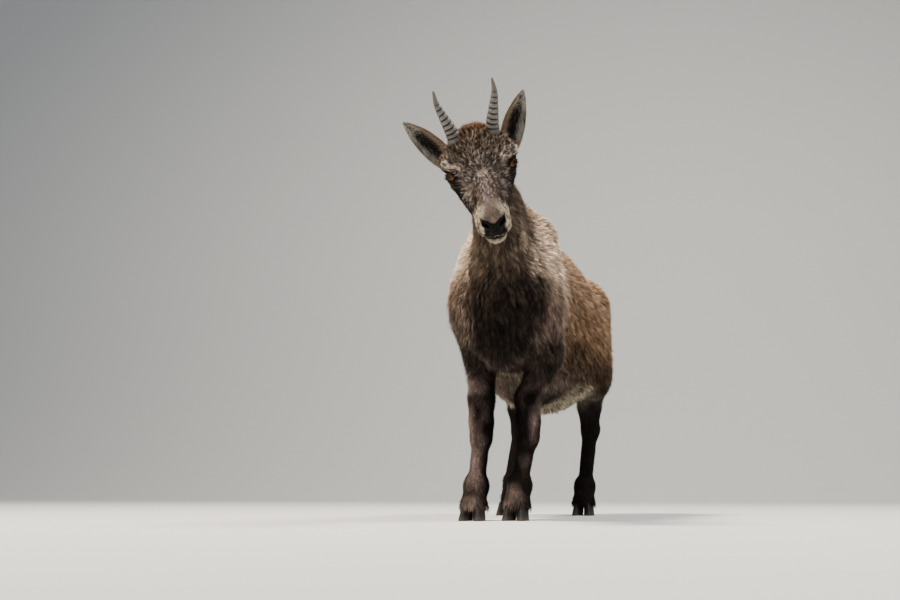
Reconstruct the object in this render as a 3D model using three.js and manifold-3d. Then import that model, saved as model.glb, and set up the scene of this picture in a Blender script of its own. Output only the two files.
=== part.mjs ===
// A young alpine ibex, life size, standing square and looking down over its nose at the viewer.
// Millimetres. +X is the animal's left, -Y is forward and +Z is up, with the floor at Z = 0.
import * as THREE from "three";
import { mergeVertices } from "three/addons/utils/BufferGeometryUtils.js";
import Module from "manifold-3d";

const wasm = await Module();
wasm.setup();

// Driving sizes of the animal, out to the tips of its coat.
const WITHERS = 640; // height of the back over the shoulders
const CROUP = 552; // height of the back over the hips
const CHEST_HALF_WIDTH = 112;
const BARREL_HALF_WIDTH = 128;
const HAUNCH_HALF_WIDTH = 126;
const CHEST_FRONT_Y = -262;
const RUMP_Y = 366;
const HIP_SWAY = 38; // how far the hindquarters stand to the animal's left of the chest
const KNEE_HEIGHT = 178;
const HOCK_HEIGHT = 210;
const FETLOCK_HEIGHT = 67;
const CORONET_HEIGHT = 31;
const LEG_CUT_HEIGHT = 250; // where the legs part from the torso, just under the chest
const BELLY_FROM_Y = -30; // between these the belly hangs lower than that
const BELLY_TO_Y = 205;
const GAP = 0.3; // between pieces that touch
const SEED = 7;

// The head's own frame has its origin midway between the eyes, -Y to the nose and +Z out of the forehead.
const EYES_MIDPOINT = new THREE.Vector3(16, -427.5, 630.5);
const HEAD_PITCH = 53; // degrees that the face points below the horizon
const HEAD_YAW = 15; // degrees that the face turns to the animal's left
const HEAD_ROLL = 12.5; // degrees that the head tips over, seen from in front
const HEAD_VIEW_DROP = 16; // degrees below the horizon of the line about which it tips
const EYE_SIDE = 51;
const EYE_RADIUS = 13.5;
const LID_RADIUS = 16.2;
const LID_OPENING = [25, 15]; // length and height of the opening between the lids
const HORN_RADIUS = 15;
const HORN_RINGS = 9;
const EAR_LENGTH = 103;
const EAR_HALF_WIDTH = 23;
const TAIL_LENGTH = 105;

const COLOURS = {
  back: "#b08c66",
  neck: "#6d5b49",
  face: "#8f8172",
  leg: "#40342d",
  horn: "#9a9186",
  hoof: "#4a4742",
  eye: "#a8661f",
  ear: "#a89a86",
  tail: "#3a2e26",
};

// Small number helpers

const clamp = (value, low, high) => Math.min(high, Math.max(low, value));
const mix = THREE.MathUtils.lerp;
const radians = THREE.MathUtils.degToRad;
const smooth = THREE.MathUtils.smoothstep;
const point = (x, y, z) => new THREE.Vector3(x, y, z);

// A repeatable draw from 0 to 1.
let drawState = SEED;
function draw() {
  drawState = (drawState * 1664525 + 1013904223) % 4294967296;
  return drawState / 4294967296;
}

// Masses of flesh, each as its distance from a point, below zero inside

// A tapered rod from one joint to the next. Its section is `wide` times as wide across the body as deep.
function rod([ax, ay, az], [bx, by, bz], startRadius, endRadius, wide = 1) {
  const ux = (bx - ax) / wide;
  const uy = by - ay;
  const uz = bz - az;
  const lengthSquared = ux * ux + uy * uy + uz * uz;
  const scale = Math.min(1, wide);
  return (x, y, z) => {
    const px = (x - ax) / wide;
    const py = y - ay;
    const pz = z - az;
    const t = clamp((px * ux + py * uy + pz * uz) / lengthSquared, 0, 1);
    const far = Math.hypot(px - t * ux, py - t * uy, pz - t * uz);
    return (far - mix(startRadius, endRadius, t)) * scale;
  };
}

function ball([cx, cy, cz], [rx, ry, rz]) {
  return (x, y, z) => {
    const qx = (x - cx) / rx;
    const qy = (y - cy) / ry;
    const qz = (z - cz) / rz;
    const reach = Math.hypot(qx, qy, qz);
    const slope = Math.hypot(qx / rx, qy / ry, qz / rz);
    return slope > 0 ? (reach * (reach - 1)) / slope : -Math.min(rx, ry, rz);
  };
}

// Masses run into one another over a seam about `softness` wide.
function fuse(masses, softness) {
  return (x, y, z) => {
    let near = Infinity;
    for (const mass of masses) {
      const other = mass(x, y, z);
      const overlap = Math.max(softness - Math.abs(near - other), 0) / softness;
      near = Math.min(near, other) - (Number.isFinite(overlap) ? (overlap * overlap * softness) / 4 : 0);
    }
    return near;
  };
}

const bothSides = (make) => [make(1), make(-1)].flat();

// Closed surfaces

// A solid from a geometry whose faces may point either way.
function solid(geometry) {
  const bare = geometry.clone();
  bare.deleteAttribute("normal");
  bare.deleteAttribute("uv");
  const merged = mergeVertices(bare, 1e-3);
  const vertProperties = merged.attributes.position.array;
  const triVerts = new Uint32Array(merged.index.array);
  const made = new wasm.Manifold(new wasm.Mesh({ numProp: 3, vertProperties, triVerts }));
  if (made.volume() > 0) return made;
  for (let i = 0; i < triVerts.length; i += 3) {
    [triVerts[i + 1], triVerts[i + 2]] = [triVerts[i + 2], triVerts[i + 1]];
  }
  return new wasm.Manifold(new wasm.Mesh({ numProp: 3, vertProperties, triVerts }));
}

const placed = (geometry, matrix) => solid(geometry.clone().applyMatrix4(matrix));
const join = (solids) => solids.reduce((all, one) => all.add(one));
const largest = (made) =>
  made.decompose().reduce((best, one) => (one.volume() > best.volume() ? one : best));

function geometryOf(made) {
  const mesh = made.getMesh();
  const positions = new Float32Array(mesh.numVert * 3);
  for (let i = 0; i < mesh.numVert; i++) {
    for (let axis = 0; axis < 3; axis++) {
      positions[3 * i + axis] = mesh.vertProperties[i * mesh.numProp + axis];
    }
  }
  return new THREE.BufferGeometry()
    .setAttribute("position", new THREE.BufferAttribute(positions, 3))
    .setIndex(new THREE.BufferAttribute(new Uint32Array(mesh.triVerts), 1));
}

// A sphere's grid of corners, each moved to where place(turn, row) puts it, with turn from 0 to 1 round.
function shapedSphere(sides, rows, place) {
  const shape = new THREE.SphereGeometry(1, sides, rows);
  const corners = shape.attributes.position;
  for (let i = 0; i < corners.count; i++) {
    const row = Math.floor(i / (sides + 1));
    const side = i % (sides + 1);
    const turn = row === 0 || row === rows ? 0 : (side % sides) / sides;
    const to = place(turn, row);
    corners.setXYZ(i, to.x, to.y, to.z);
  }
  return shape;
}

// A skin round a path: rays leave points of the path, and each stops where the field turns positive.
function wrap({ path, field, sides, rows, domes = 3, reach = 320 }) {
  const curve = new THREE.CatmullRomCurve3(path.map((p) => point(...p)));
  const stations = [];
  for (let row = 0; row <= rows + 2 * domes; row++) {
    const along = clamp((row - domes) / rows, 0, 1);
    const tangent = curve.getTangentAt(along);
    const across = point(1, 0, 0).addScaledVector(tangent, -tangent.x).normalize();
    const up = tangent.clone().cross(across);
    const early = Math.max(domes - row, 0) / domes;
    const late = Math.max(row - domes - rows, 0) / domes;
    const tilt = ((late - early) * Math.PI) / 2;
    stations.push({ centre: curve.getPointAt(along), tangent, across, up, tilt });
  }
  return shapedSphere(sides, rows + 2 * domes, (turn, row) => {
    const { centre, tangent, across, up, tilt } = stations[row];
    const angle = turn * 2 * Math.PI;
    const ray = point(0, 0, 0)
      .addScaledVector(across, Math.cos(angle) * Math.cos(tilt))
      .addScaledVector(up, Math.sin(angle) * Math.cos(tilt))
      .addScaledVector(tangent, Math.sin(tilt));
    const at = (far) => field(centre.x + ray.x * far, centre.y + ray.y * far, centre.z + ray.z * far);
    const STRIDE = 3;
    let outer = STRIDE;
    while (outer < reach && at(outer) < 0) outer += STRIDE;
    let inner = outer - STRIDE;
    for (let i = 0; i < 10; i++) {
      const middle = (inner + outer) / 2;
      if (at(middle) < 0) inner = middle;
      else outer = middle;
    }
    return centre.clone().addScaledVector(ray, inner);
  });
}

// Moves a solid's corners onto the field's surface, by at most `limit` each, which rounds off joins.
function settle(made, field, limit) {
  const shape = geometryOf(made);
  const corners = shape.attributes.position;
  const STEP = 0.5;
  for (let i = 0; i < corners.count; i++) {
    const start = point(corners.getX(i), corners.getY(i), corners.getZ(i));
    const now = start.clone();
    for (let pass = 0; pass < 4; pass++) {
      const { x, y, z } = now;
      const value = field(x, y, z);
      const slope = point(
        field(x + STEP, y, z) - field(x - STEP, y, z),
        field(x, y + STEP, z) - field(x, y - STEP, z),
        field(x, y, z + STEP) - field(x, y, z - STEP),
      ).divideScalar(2 * STEP);
      const steep = Math.max(slope.lengthSq(), 0.2);
      now.addScaledVector(slope, (-0.8 * value) / steep);
    }
    const moved = now.sub(start).clampLength(0, limit);
    corners.setXYZ(i, start.x + moved.x, start.y + moved.y, start.z + moved.z);
  }
  return solid(shape);
}

// A block that fills everything on the side of a plane that its normal points to.
const BLOCK = 3000;
function beyond(at, normal, offset = 0) {
  const facing = new THREE.Quaternion().setFromUnitVectors(point(0, 0, 1), normal.clone().normalize());
  const centre = at.clone().addScaledVector(normal.clone().normalize(), BLOCK / 2 + offset);
  const matrix = new THREE.Matrix4().compose(centre, facing, point(1, 1, 1));
  return placed(new THREE.BoxGeometry(BLOCK, BLOCK, BLOCK), matrix);
}

// A flat, tapered lock of hair that bends as it goes, from its root to its tip.
function lock({ root, towards, lift, length, width, bend = 0.35 }) {
  const ahead = towards.clone().normalize();
  const out = lift.clone().addScaledVector(ahead, -lift.dot(ahead)).normalize();
  const across = ahead.clone().cross(out);
  const ROWS = 4;
  const thick = width * 0.42;
  return shapedSphere(5, ROWS, (turn, row) => {
    const along = row / ROWS;
    const fat = Math.sin(Math.PI * clamp(0.18 + 0.82 * along, 0, 1)) ** 0.8;
    const angle = turn * 2 * Math.PI;
    return root
      .clone()
      .addScaledVector(ahead, length * along)
      .addScaledVector(out, bend * length * (along - along * along * 1.35))
      .addScaledVector(across, (width / 2) * fat * Math.cos(angle) * (row % ROWS ? 1 : 0))
      .addScaledVector(out, thick * fat * Math.sin(angle) * (row % ROWS ? 1 : 0));
  });
}

// The head's pose

const headTurn = new THREE.Quaternion()
  .setFromAxisAngle(
    point(
      Math.sin(radians(HEAD_YAW)) * Math.cos(radians(HEAD_VIEW_DROP)),
      -Math.cos(radians(HEAD_YAW)) * Math.cos(radians(HEAD_VIEW_DROP)),
      -Math.sin(radians(HEAD_VIEW_DROP)),
    ),
    radians(HEAD_ROLL),
  )
  .multiply(new THREE.Quaternion().setFromAxisAngle(point(0, 0, 1), radians(HEAD_YAW)))
  .multiply(new THREE.Quaternion().setFromAxisAngle(point(1, 0, 0), radians(HEAD_PITCH)));
const HEAD_POSE = new THREE.Matrix4().compose(EYES_MIDPOINT, headTurn, point(1, 1, 1));
const FROM_HEAD = HEAD_POSE.clone().invert();
const onHead = (x, y, z) => point(x, y, z).applyMatrix4(HEAD_POSE);
const headDirection = (x, y, z) => point(x, y, z).applyQuaternion(headTurn);

// Trunk and neck

const trunkMasses = [
  rod([0, -120, 446], [0, 70, 438], 162, 158, CHEST_HALF_WIDTH / 162), // ribs
  ball([-12, 96, 390], [BARREL_HALF_WIDTH + 14, 188, 168]), // belly
  rod([0, -110, WITHERS - 54], [0, 225, CROUP - 50], 48, 40, 1.15), // back
  ball([0, -118, WITHERS - 44], [42, 85, 40]), // withers
  rod([0, 190, 466], [0, 290, 444], 83, 71, 0.96), // pelvis
  ball([0, RUMP_Y - 50, 446], [80, 50, 74]), // rump
  ball([0, CHEST_FRONT_Y + 48, 378], [58, 52, 90]), // brisket
  rod([0, -150, 500], [8, -235, 552], 78, 64, 0.62), // root of the neck
  ...bothSides((side) => [
    rod([side * 62, -108, 568], [side * 68, -200, 425], 46, 54, 0.6), // shoulder blade
    rod([side * 70, -200, 425], [side * 68, -128, 345], 50, 44, 0.66), // upper arm
    rod([side * 66, 240, 450], [side * (HAUNCH_HALF_WIDTH - 34), 186, 322], 87, 68, 0.54), // thigh
    ball([side * 52, 216, 478], [52, 86, 46]), // hip
    rod([side * 60, 312, 452], [side * 72, 286, 322], 48, 41, 0.72), // ham
  ]),
];

const neckBase = [2, -150, 505];
const neckMiddle = [12, -272, 592];
const neckTop = onHead(0, 50, -20).toArray();
const neckMasses = [
  rod(neckBase, neckMiddle, 78, 60, 0.64),
  rod(neckMiddle, neckTop, 60, 46, 0.74),
  rod([14, -236, 432], [16, -298, 545], 52, 50, 0.74), // gullet, low
  rod([16, -298, 545], onHead(0, 26, -54).toArray(), 50, 36, 0.8), // gullet, high
  rod([0, -110, 586], onHead(0, 74, 6).toArray(), 42, 32, 0.86), // crest
];

// Legs

// Joints of a leg from the top down, with x as the distance from the middle of the body.
const FORE = {
  top: [72, -172, 400],
  elbow: [68, -132, 330],
  joint: [60, -150, KNEE_HEIGHT],
  fetlock: [52, -152, FETLOCK_HEIGHT],
  coronet: [52, -170, CORONET_HEIGHT],
};
const HIND = {
  top: [70, 225, 450],
  elbow: [84, 178, 330],
  joint: [74, 314, HOCK_HEIGHT],
  fetlock: [74, 304, FETLOCK_HEIGHT],
  coronet: [74, 286, CORONET_HEIGHT],
};

// Each foot's own step from the square stance: across, along, and across at the elbow and the knee.
const STANCE = {
  fore_right: { joints: FORE, side: -1, across: 10, along: -20, elbowAcross: -4, kneeAcross: -6 },
  fore_left: { joints: FORE, side: 1, across: -36, along: 10, elbowAcross: 4, kneeAcross: -24 },
  hind_right: { joints: HIND, side: -1, across: 60, along: -26, elbowAcross: 10, kneeAcross: 38 },
  hind_left: { joints: HIND, side: 1, across: -40, along: 20, elbowAcross: -2, kneeAcross: -24 },
};

// A leg's joints in place. A foot's step fades out up the leg.
function jointsOf({ joints, side, across, along, elbowAcross, kneeAcross }) {
  const at = ([x, y, z], sideways, step) => [side * (x + sideways), y + step, z];
  return {
    top: at(joints.top, 0, 0),
    elbow: at(joints.elbow, elbowAcross, 0),
    joint: at(joints.joint, kneeAcross, along * 0.55),
    fetlock: at(joints.fetlock, across, along),
    coronet: at(joints.coronet, across, along),
  };
}

const shift = ([x, y, z], dx, dy, dz) => [x + dx, y + dy, z + dz];

function forelegMasses({ top, elbow, joint, fetlock, coronet }) {
  return [
    rod(top, elbow, 58, 50, 0.7),
    rod(elbow, shift(joint, 0, 2, 56), 46, 31, 0.84), // forearm
    rod(shift(joint, 0, 2, 60), shift(joint, 0, 0, 14), 29, 24, 0.94),
    rod(shift(joint, 0, -2, 14), shift(joint, 0, -2, -16), 25, 23, 1.0), // knee
    ball(shift(joint, 0, 14, 4), [15, 12, 20]), // back of the knee
    rod(shift(joint, 0, 0, -16), fetlock, 21.5, 19.5, 0.9), // cannon
    ball(shift(fetlock, 0, 2, 0), [24, 25, 24]), // fetlock
    rod(fetlock, coronet, 22, 24, 1.02), // pastern
    rod(coronet, shift(coronet, 0, -4, -22), 24, 24, 1.04),
  ];
}

function hindlegMasses({ top, elbow, joint, fetlock, coronet }) {
  const heel = shift(joint, 0, 22, 20);
  return [
    rod(top, elbow, 84, 60, 0.58), // thigh
    rod(elbow, shift(joint, 0, -14, 44), 56, 34, 0.8), // gaskin
    rod(shift(elbow, 0, 66, -34), heel, 21, 13, 0.84), // hamstring cord
    rod(shift(joint, 0, -14, 44), shift(joint, 0, -2, -8), 31, 25, 0.92), // hock
    rod(heel, shift(joint, 0, 10, -14), 14.5, 16, 1.0), // point of the hock
    rod(shift(joint, 0, 0, -10), fetlock, 21.5, 19.5, 0.9), // cannon
    ball(shift(fetlock, 0, 2, 0), [24, 25, 24]), // fetlock
    rod(fetlock, coronet, 22, 24, 1.02), // pastern
    rod(coronet, shift(coronet, 0, -4, -22), 24, 24, 1.04),
  ];
}

function legSkin(stance) {
  const joints = jointsOf(stance);
  const fore = stance.joints === FORE;
  const masses = fore ? forelegMasses(joints) : hindlegMasses(joints);
  const middle = fore ? [] : [shift(joints.joint, 0, -62, 92)];
  const path = [
    joints.top,
    joints.elbow,
    ...middle,
    shift(joints.joint, 0, fore ? 0 : -8, 10),
    joints.fetlock,
    shift(joints.coronet, 0, -2, -8),
  ];
  const field = fuse(masses, 14);
  return { field, skin: wrap({ path, field, sides: 12, rows: 24, domes: 2, reach: 120 }) };
}

// Head, in its own frame

const headMasses = [
  ball([0, 38, 0], [56, 58, 49]), // braincase
  rod([0, 54, 22], [0, -6, 13], 28, 23, 1.7), // forehead
  rod([0, -10, 6], [0, -104, -18], 26, 19, 1.02), // bridge of the nose
  rod([0, -40, -24], [0, -108, -40], 33, 28, 0.86), // muzzle
  rod([0, 64, 8], [0, 76, -10], 40, 40, 1.05), // nape
  ball([0, -116, -22], [22, 14, 15]), // nose pad
  ball([0, -107, -74], [17, 17, 13]), // chin
  ...bothSides((side) => [
    ball([side * 42, 32, 6], [20, 32, 28]), // temple
    ball([side * 54, 10, 12], [18, 20, 16]), // brow and back of the eye socket
    ball([side * 44, 14, -18], [19, 32, 20]), // cheekbone
    rod([side * 39, -8, -20], [side * 15, -96, -38], 20, 15, 1.0), // side of the face
    ball([side * 30, 34, -44], [18, 40, 34]), // cheek
    rod([side * 25, 44, -62], [side * 9, -98, -69], 17, 12, 0.9), // lower jaw
    ball([side * 15, -113, -42], [15, 15, 18]), // upper lip
  ]),
];
const headField = fuse(headMasses, 13);

function headField3(x, y, z) {
  const local = point(x, y, z).applyMatrix4(FROM_HEAD);
  return headField(local.x, local.y, local.z);
}

const eyeAt = (side) => point(side * EYE_SIDE, 0, -1);
const eyeAxis = (side) => point(side * 0.7, -0.67, 0.2).normalize();

// A frame at the eye, with its Z along the way the eye looks and its X level with the mouth line.
function eyeFrame(side) {
  const z = eyeAxis(side);
  const x = point(0, 1, 0.12).addScaledVector(z, -z.dot(point(0, 1, 0.12))).normalize();
  const y = z.clone().cross(x);
  return new THREE.Matrix4().makeBasis(x, y, z).setPosition(eyeAt(side));
}

// The almond between the lids, as a block that runs out of the eye.
function lidOpening(side) {
  const [length, height] = LID_OPENING;
  const almond = new THREE.Shape()
    .moveTo(-length / 2, 0)
    .quadraticCurveTo(0, height, length / 2, 0)
    .quadraticCurveTo(0, -height, -length / 2, 0);
  const block = new THREE.ExtrudeGeometry(almond, { depth: 30, bevelEnabled: false, curveSegments: 5 });
  return placed(block, eyeFrame(side));
}

// Where a ray from the middle of the muzzle leaves it, at a height and a turn from straight ahead.
function muzzleEdge(y, z, turn) {
  const ray = [Math.sin(turn), -Math.cos(turn)];
  let far = 2;
  while (headField(ray[0] * far, y + ray[1] * far, z) < 0 && far < 90) far += 0.5;
  return point(ray[0] * far, y + ray[1] * far, z);
}

// The slit between the lips, from one corner of the mouth round to the other.
function mouthSlit() {
  const TURNS = 12;
  const WIDEST = 1.75;
  const line = [];
  for (let i = 0; i <= TURNS; i++) {
    const turn = mix(-WIDEST, WIDEST, i / TURNS);
    const fromFront = Math.abs(turn) / WIDEST;
    const at = muzzleEdge(mix(-98, -76, fromFront), mix(-61, -50, fromFront ** 2), turn);
    line.push(at);
  }
  const section = new THREE.Shape([
    new THREE.Vector2(-1.6, 0),
    new THREE.Vector2(0, 5),
    new THREE.Vector2(1.6, 0),
    new THREE.Vector2(0, -5),
  ]);
  const curve = new THREE.CatmullRomCurve3(line);
  return solid(new THREE.ExtrudeGeometry(section, { steps: 22, extrudePath: curve }));
}

function nostril(side) {
  const hollow = new THREE.SphereGeometry(1, 8, 6);
  const turn = new THREE.Quaternion().setFromEuler(new THREE.Euler(0.25, side * 0.2, side * -0.75));
  const at = point(side * 12.5, -129, -21);
  return placed(hollow, new THREE.Matrix4().compose(at, turn, point(9.5, 7, 4)));
}

// The tuft between the horns: locks that stand up and fall back over the poll.
function forelock() {
  const locks = [];
  const ROWS = 4;
  for (let row = 0; row < ROWS; row++) {
    const across = 4 - (row % 2);
    for (let i = 0; i < across; i++) {
      const x = (i - (across - 1) / 2) * 13 + (draw() - 0.5) * 5;
      const towards = point(x * 0.02 + (draw() - 0.5) * 0.4, 0.3 + 0.1 * row, 0.8);
      const root = point(x, 36 + row * 8, 40 + row);
      const length = 14 + draw() * 5;
      locks.push(solid(lock({ root, towards, lift: point(0, -1, 0.6), length, width: 14, bend: 0.22 })));
    }
  }
  return locks;
}

// Horns and ears, in the head's frame

const hornPath = (side) =>
  new THREE.CatmullRomCurve3([
    point(side * 34, 46, 30),
    point(side * 37, 54, 48),
    point(side * 45, 66, 74),
    point(side * 53, 81, 98),
    point(side * 54, 98, 117),
  ]);

// `extra` makes the fitted socket that the horn stands in.
function horn(side, extra = 0) {
  const path = hornPath(side);
  const ROWS = 34;
  return shapedSphere(12, ROWS, (turn, row) => {
    const along = row / ROWS;
    const centre = path.getPointAt(along);
    const tangent = path.getTangentAt(along);
    const across = point(1, 0, 0).addScaledVector(tangent, -tangent.x).normalize();
    const up = tangent.clone().cross(across);
    const taper = mix(HORN_RADIUS, 2.2, along ** 1.3);
    const ringed = smooth(along, 0.12, 0.2) * (1 - smooth(along, 0.74, 0.86));
    const ring = 0.5 - 0.5 * Math.cos(along * HORN_RINGS * 1.28 * 2 * Math.PI);
    const radius = taper * (1 + 0.13 * ringed * (ring - 0.5)) + extra;
    const end = row === 0 || row === ROWS;
    const angle = turn * 2 * Math.PI;
    return centre
      .addScaledVector(tangent, row === ROWS ? extra : row === 0 ? -extra : 0)
      .addScaledVector(across, end ? 0 : radius * 0.92 * Math.cos(angle))
      .addScaledVector(up, end ? 0 : radius * Math.sin(angle));
  });
}

// The left ear stands a little higher than the right.
const EAR_AHEAD = { left: point(0.41, 0.69, 0.55).normalize(), right: point(-0.53, 0.65, 0.46).normalize() };

function earShape(side, extra = 0) {
  const base = point(side * 60, 56, -6);
  const ahead = side > 0 ? EAR_AHEAD.left : EAR_AHEAD.right;
  const facing = point(side * 0.3, -0.72, 0.62);
  const open = facing.addScaledVector(ahead, -facing.dot(ahead)).normalize();
  const across = ahead.clone().cross(open);
  const ROWS = 16;
  const SIDES = 14;
  const SUNK = 14; // how much of the root is inside the head
  return shapedSphere(SIDES, ROWS, (turn, row) => {
    const along = row / ROWS;
    const end = row === 0 || row === ROWS;
    const leaf = Math.sin(Math.PI * (along * 0.77 + 0.22)) ** 0.68;
    const half = Math.max(EAR_HALF_WIDTH * leaf, 10 * (1 - along * 2)) + extra;
    const outer = mix(12, 5, along) * Math.min(1, leaf + 0.3) + extra;
    const cup = extra > 0 ? 0 : smooth(along, 0.16, 0.34); // a socket is cut clear of the cup too
    const inner = mix(-outer, outer - 3.4, cup);
    const angle = turn * 2 * Math.PI;
    const back = turn <= 0.5;
    const depth = back ? -outer * Math.sin(angle) : inner * Math.sin(angle);
    const wide = back ? half : mix(half, half - 1.2, cup);
    const sweep = 10 * along * along;
    return base
      .clone()
      .addScaledVector(ahead, along * (EAR_LENGTH + SUNK) - SUNK + (row === 0 ? -extra : 0))
      .addScaledVector(open, (end ? 0 : depth) + sweep)
      .addScaledVector(across, end ? 0 : wide * Math.cos(angle));
  });
}

// Hooves and tail

// One claw of a hoof: a slanted wall over a flat sole, blunt at the heel and narrow at the toe.
function claw(centre, outwards) {
  const shape = new THREE.CylinderGeometry(1, 1, 1, 12, 3);
  const corners = shape.attributes.position;
  const [cx, cy] = centre;
  const LENGTH = 27;
  const HALF_WIDTH = 12.6;
  const SPLAY = 0.1;
  for (let i = 0; i < corners.count; i++) {
    const high = corners.getY(i) + 0.5;
    const angle = Math.atan2(corners.getZ(i), corners.getX(i));
    const rim = Math.hypot(corners.getX(i), corners.getZ(i));
    const grow = mix(1, 0.84, high) * rim;
    const toe = Math.max(-Math.sin(angle), 0);
    const middle = outwards * (0.5 + HALF_WIDTH * mix(1, 0.84, high)); // the inner wall stands upright
    const x = Math.cos(angle) * HALF_WIDTH * grow * (1 - 0.34 * toe * toe) + middle;
    const y = Math.sin(angle) * LENGTH * grow * (toe > 0 ? 1.1 : 0.82) + mix(-8, 5, high);
    const z = high * (CORONET_HEIGHT - GAP);
    const turned = point(x, y, z).applyAxisAngle(point(0, 0, 1), outwards * SPLAY);
    corners.setXYZ(i, cx + turned.x, cy + turned.y, z);
  }
  return solid(shape);
}

const tailRoot = point(0, RUMP_Y - 8, 498);
const tailAhead = point(0, 0.42, -0.91).normalize();
function tailFlesh(extra = 0) {
  const tip = tailRoot.clone().addScaledVector(tailAhead, TAIL_LENGTH * 0.72);
  const field = rod(tailRoot.toArray(), tip.toArray(), 18 + extra, 11 + extra, 1.4);
  return wrap({ path: [tailRoot.toArray(), tip.toArray()], field, sides: 12, rows: 6, domes: 3, reach: 90 });
}

function tailLocks() {
  const locks = [];
  const RINGS = 3;
  const ROUND = 5;
  for (let ring = 0; ring < RINGS; ring++) {
    for (let i = 0; i < ROUND; i++) {
      const angle = ((i + ring * 0.5) / ROUND) * 2 * Math.PI;
      const out = point(Math.cos(angle), 0, 0).addScaledVector(point(0, 0.85, 0.52), Math.sin(angle));
      const root = tailRoot
        .clone()
        .addScaledVector(tailAhead, TAIL_LENGTH * (0.3 + 0.17 * ring))
        .addScaledVector(out, 5);
      const towards = tailAhead.clone().addScaledVector(out, 0.2);
      locks.push(solid(lock({ root, towards, lift: out, length: 38 + draw() * 12, width: 17, bend: 0.15 })));
    }
  }
  return locks;
}

// Assembly

const legs = Object.fromEntries(Object.entries(STANCE).map(([name, stance]) => [name, legSkin(stance)]));
const trunkField = fuse(trunkMasses, 34);
const neckField = fuse(neckMasses, 26);
const legFields = Object.values(legs).map(({ field }) => field);
const bodyField = fuse([trunkField, neckField], 40);
const wholeField = fuse([bodyField, ...legFields, headField3], 16);

const trunk = wrap({
  path: [[0, -205, 440], [0, -100, 450], [0, 150, 445], [0, 312, 466]],
  field: bodyField,
  sides: 32,
  rows: 23,
  domes: 4,
});
const neck = wrap({
  path: [neckBase, neckMiddle, neckTop],
  field: neckField,
  sides: 22,
  rows: 11,
  domes: 3,
});
const head = wrap({
  path: [[0, 52, -6], [0, 0, -8], [0, -50, -18], [0, -100, -26]],
  field: headField,
  sides: 35,
  rows: 24,
  domes: 5,
  reach: 120,
});

const legSkins = Object.values(legs).map(({ skin }) => solid(skin));
const flesh = settle(
  join([solid(trunk), solid(neck), placed(head, HEAD_POSE), ...legSkins]),
  wholeField,
  20,
);

// Planes that part the neck from the torso, and the head from the neck behind the jaw and under it.
const NECK_PLANE = { at: point(0, -222, 556), normal: point(0, -0.78, 0.62) };
const NAPE_PLANE = { at: onHead(0, 62, 20), normal: headDirection(0, -0.93, 0.37) };
const JAW_PLANE = { at: onHead(0, 0, -88), normal: headDirection(0, -0.1, 1) };
const headZone = (offset) =>
  beyond(NAPE_PLANE.at, NAPE_PLANE.normal, offset).intersect(beyond(JAW_PLANE.at, JAW_PLANE.normal, offset));
const ahead = flesh.intersect(beyond(NECK_PLANE.at, NECK_PLANE.normal, GAP / 2));
const up = point(0, 0, 1);
const down = point(0, 0, -1);
const level = (height) => point(0, 0, height);

// What stands above or below a level, on one side of the body and in front of or behind its middle.
function quarter(made, name) {
  const { side, joints } = STANCE[name];
  const sideways = beyond(point(0, 0, 0), point(side, 0, 0));
  const fore = joints === FORE;
  const endways = beyond(point(0, fore ? BELLY_FROM_Y : BELLY_TO_Y, 0), point(0, fore ? -1 : 1, 0));
  return made.intersect(sideways).intersect(endways);
}

function dewclaws(name) {
  const { fetlock } = jointsOf(STANCE[name]);
  return [-1, 1].map((side) => {
    const at = point(fetlock[0] + side * 11, fetlock[1] + 23, fetlock[2] - 12);
    const turn = new THREE.Quaternion().setFromEuler(new THREE.Euler(0.5, 0, 0));
    const place = new THREE.Matrix4().compose(at, turn, point(6.5, 8, 12));
    return placed(new THREE.SphereGeometry(1, 8, 6), place);
  });
}

function shapeHead() {
  const inPlace = (shape) => placed(shape, HEAD_POSE);
  const move = (made) => made.transform(HEAD_POSE.toArray());
  let made = largest(ahead.intersect(headZone(0)));
  const lids = [1, -1].map((side) => {
    return inPlace(new THREE.SphereGeometry(LID_RADIUS, 14, 10).applyMatrix4(eyeFrame(side)));
  });
  made = join([made, ...lids, ...forelock().map(move)]);
  const cuts = [1, -1].flatMap((side) => {
    const socket = new THREE.SphereGeometry(EYE_RADIUS + GAP, 14, 10);
    return [
      inPlace(socket.applyMatrix4(eyeFrame(side))),
      move(lidOpening(side)),
      move(nostril(side)),
      inPlace(horn(side, GAP)),
      inPlace(earShape(side, GAP)),
    ];
  });
  return largest(made.subtract(join([...cuts, move(mouthSlit())])));
}

// Every node with its material, before the sway of the hips
const nodes = [];
const add = (name, made, colour, roughness = 0.9) => nodes.push({ name, made, colour, roughness });

const headSolid = shapeHead();
add("head", headSolid, COLOURS.face);
const earHoles = [1, -1].map((side) => placed(earShape(side, GAP), HEAD_POSE));
add("neck", largest(ahead.subtract(join([headZone(-GAP), ...earHoles]))), COLOURS.neck);
const tail = largest(join([solid(tailFlesh()), ...tailLocks()]));
const behind = flesh.intersect(beyond(NECK_PLANE.at, NECK_PLANE.normal.clone().negate(), GAP / 2));
const slab = beyond(point(0, BELLY_FROM_Y, 0), point(0, 1, 0)).intersect(
  beyond(point(0, BELLY_TO_Y, 0), point(0, -1, 0)),
);
const aboveLegs = behind.intersect(join([beyond(level(LEG_CUT_HEIGHT), up, GAP / 2), slab]));
const torso = largest(aboveLegs.subtract(solid(tailFlesh(GAP))));
add("torso", torso, COLOURS.back);
add("tail", largest(tail.subtract(torso)), COLOURS.tail);

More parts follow.
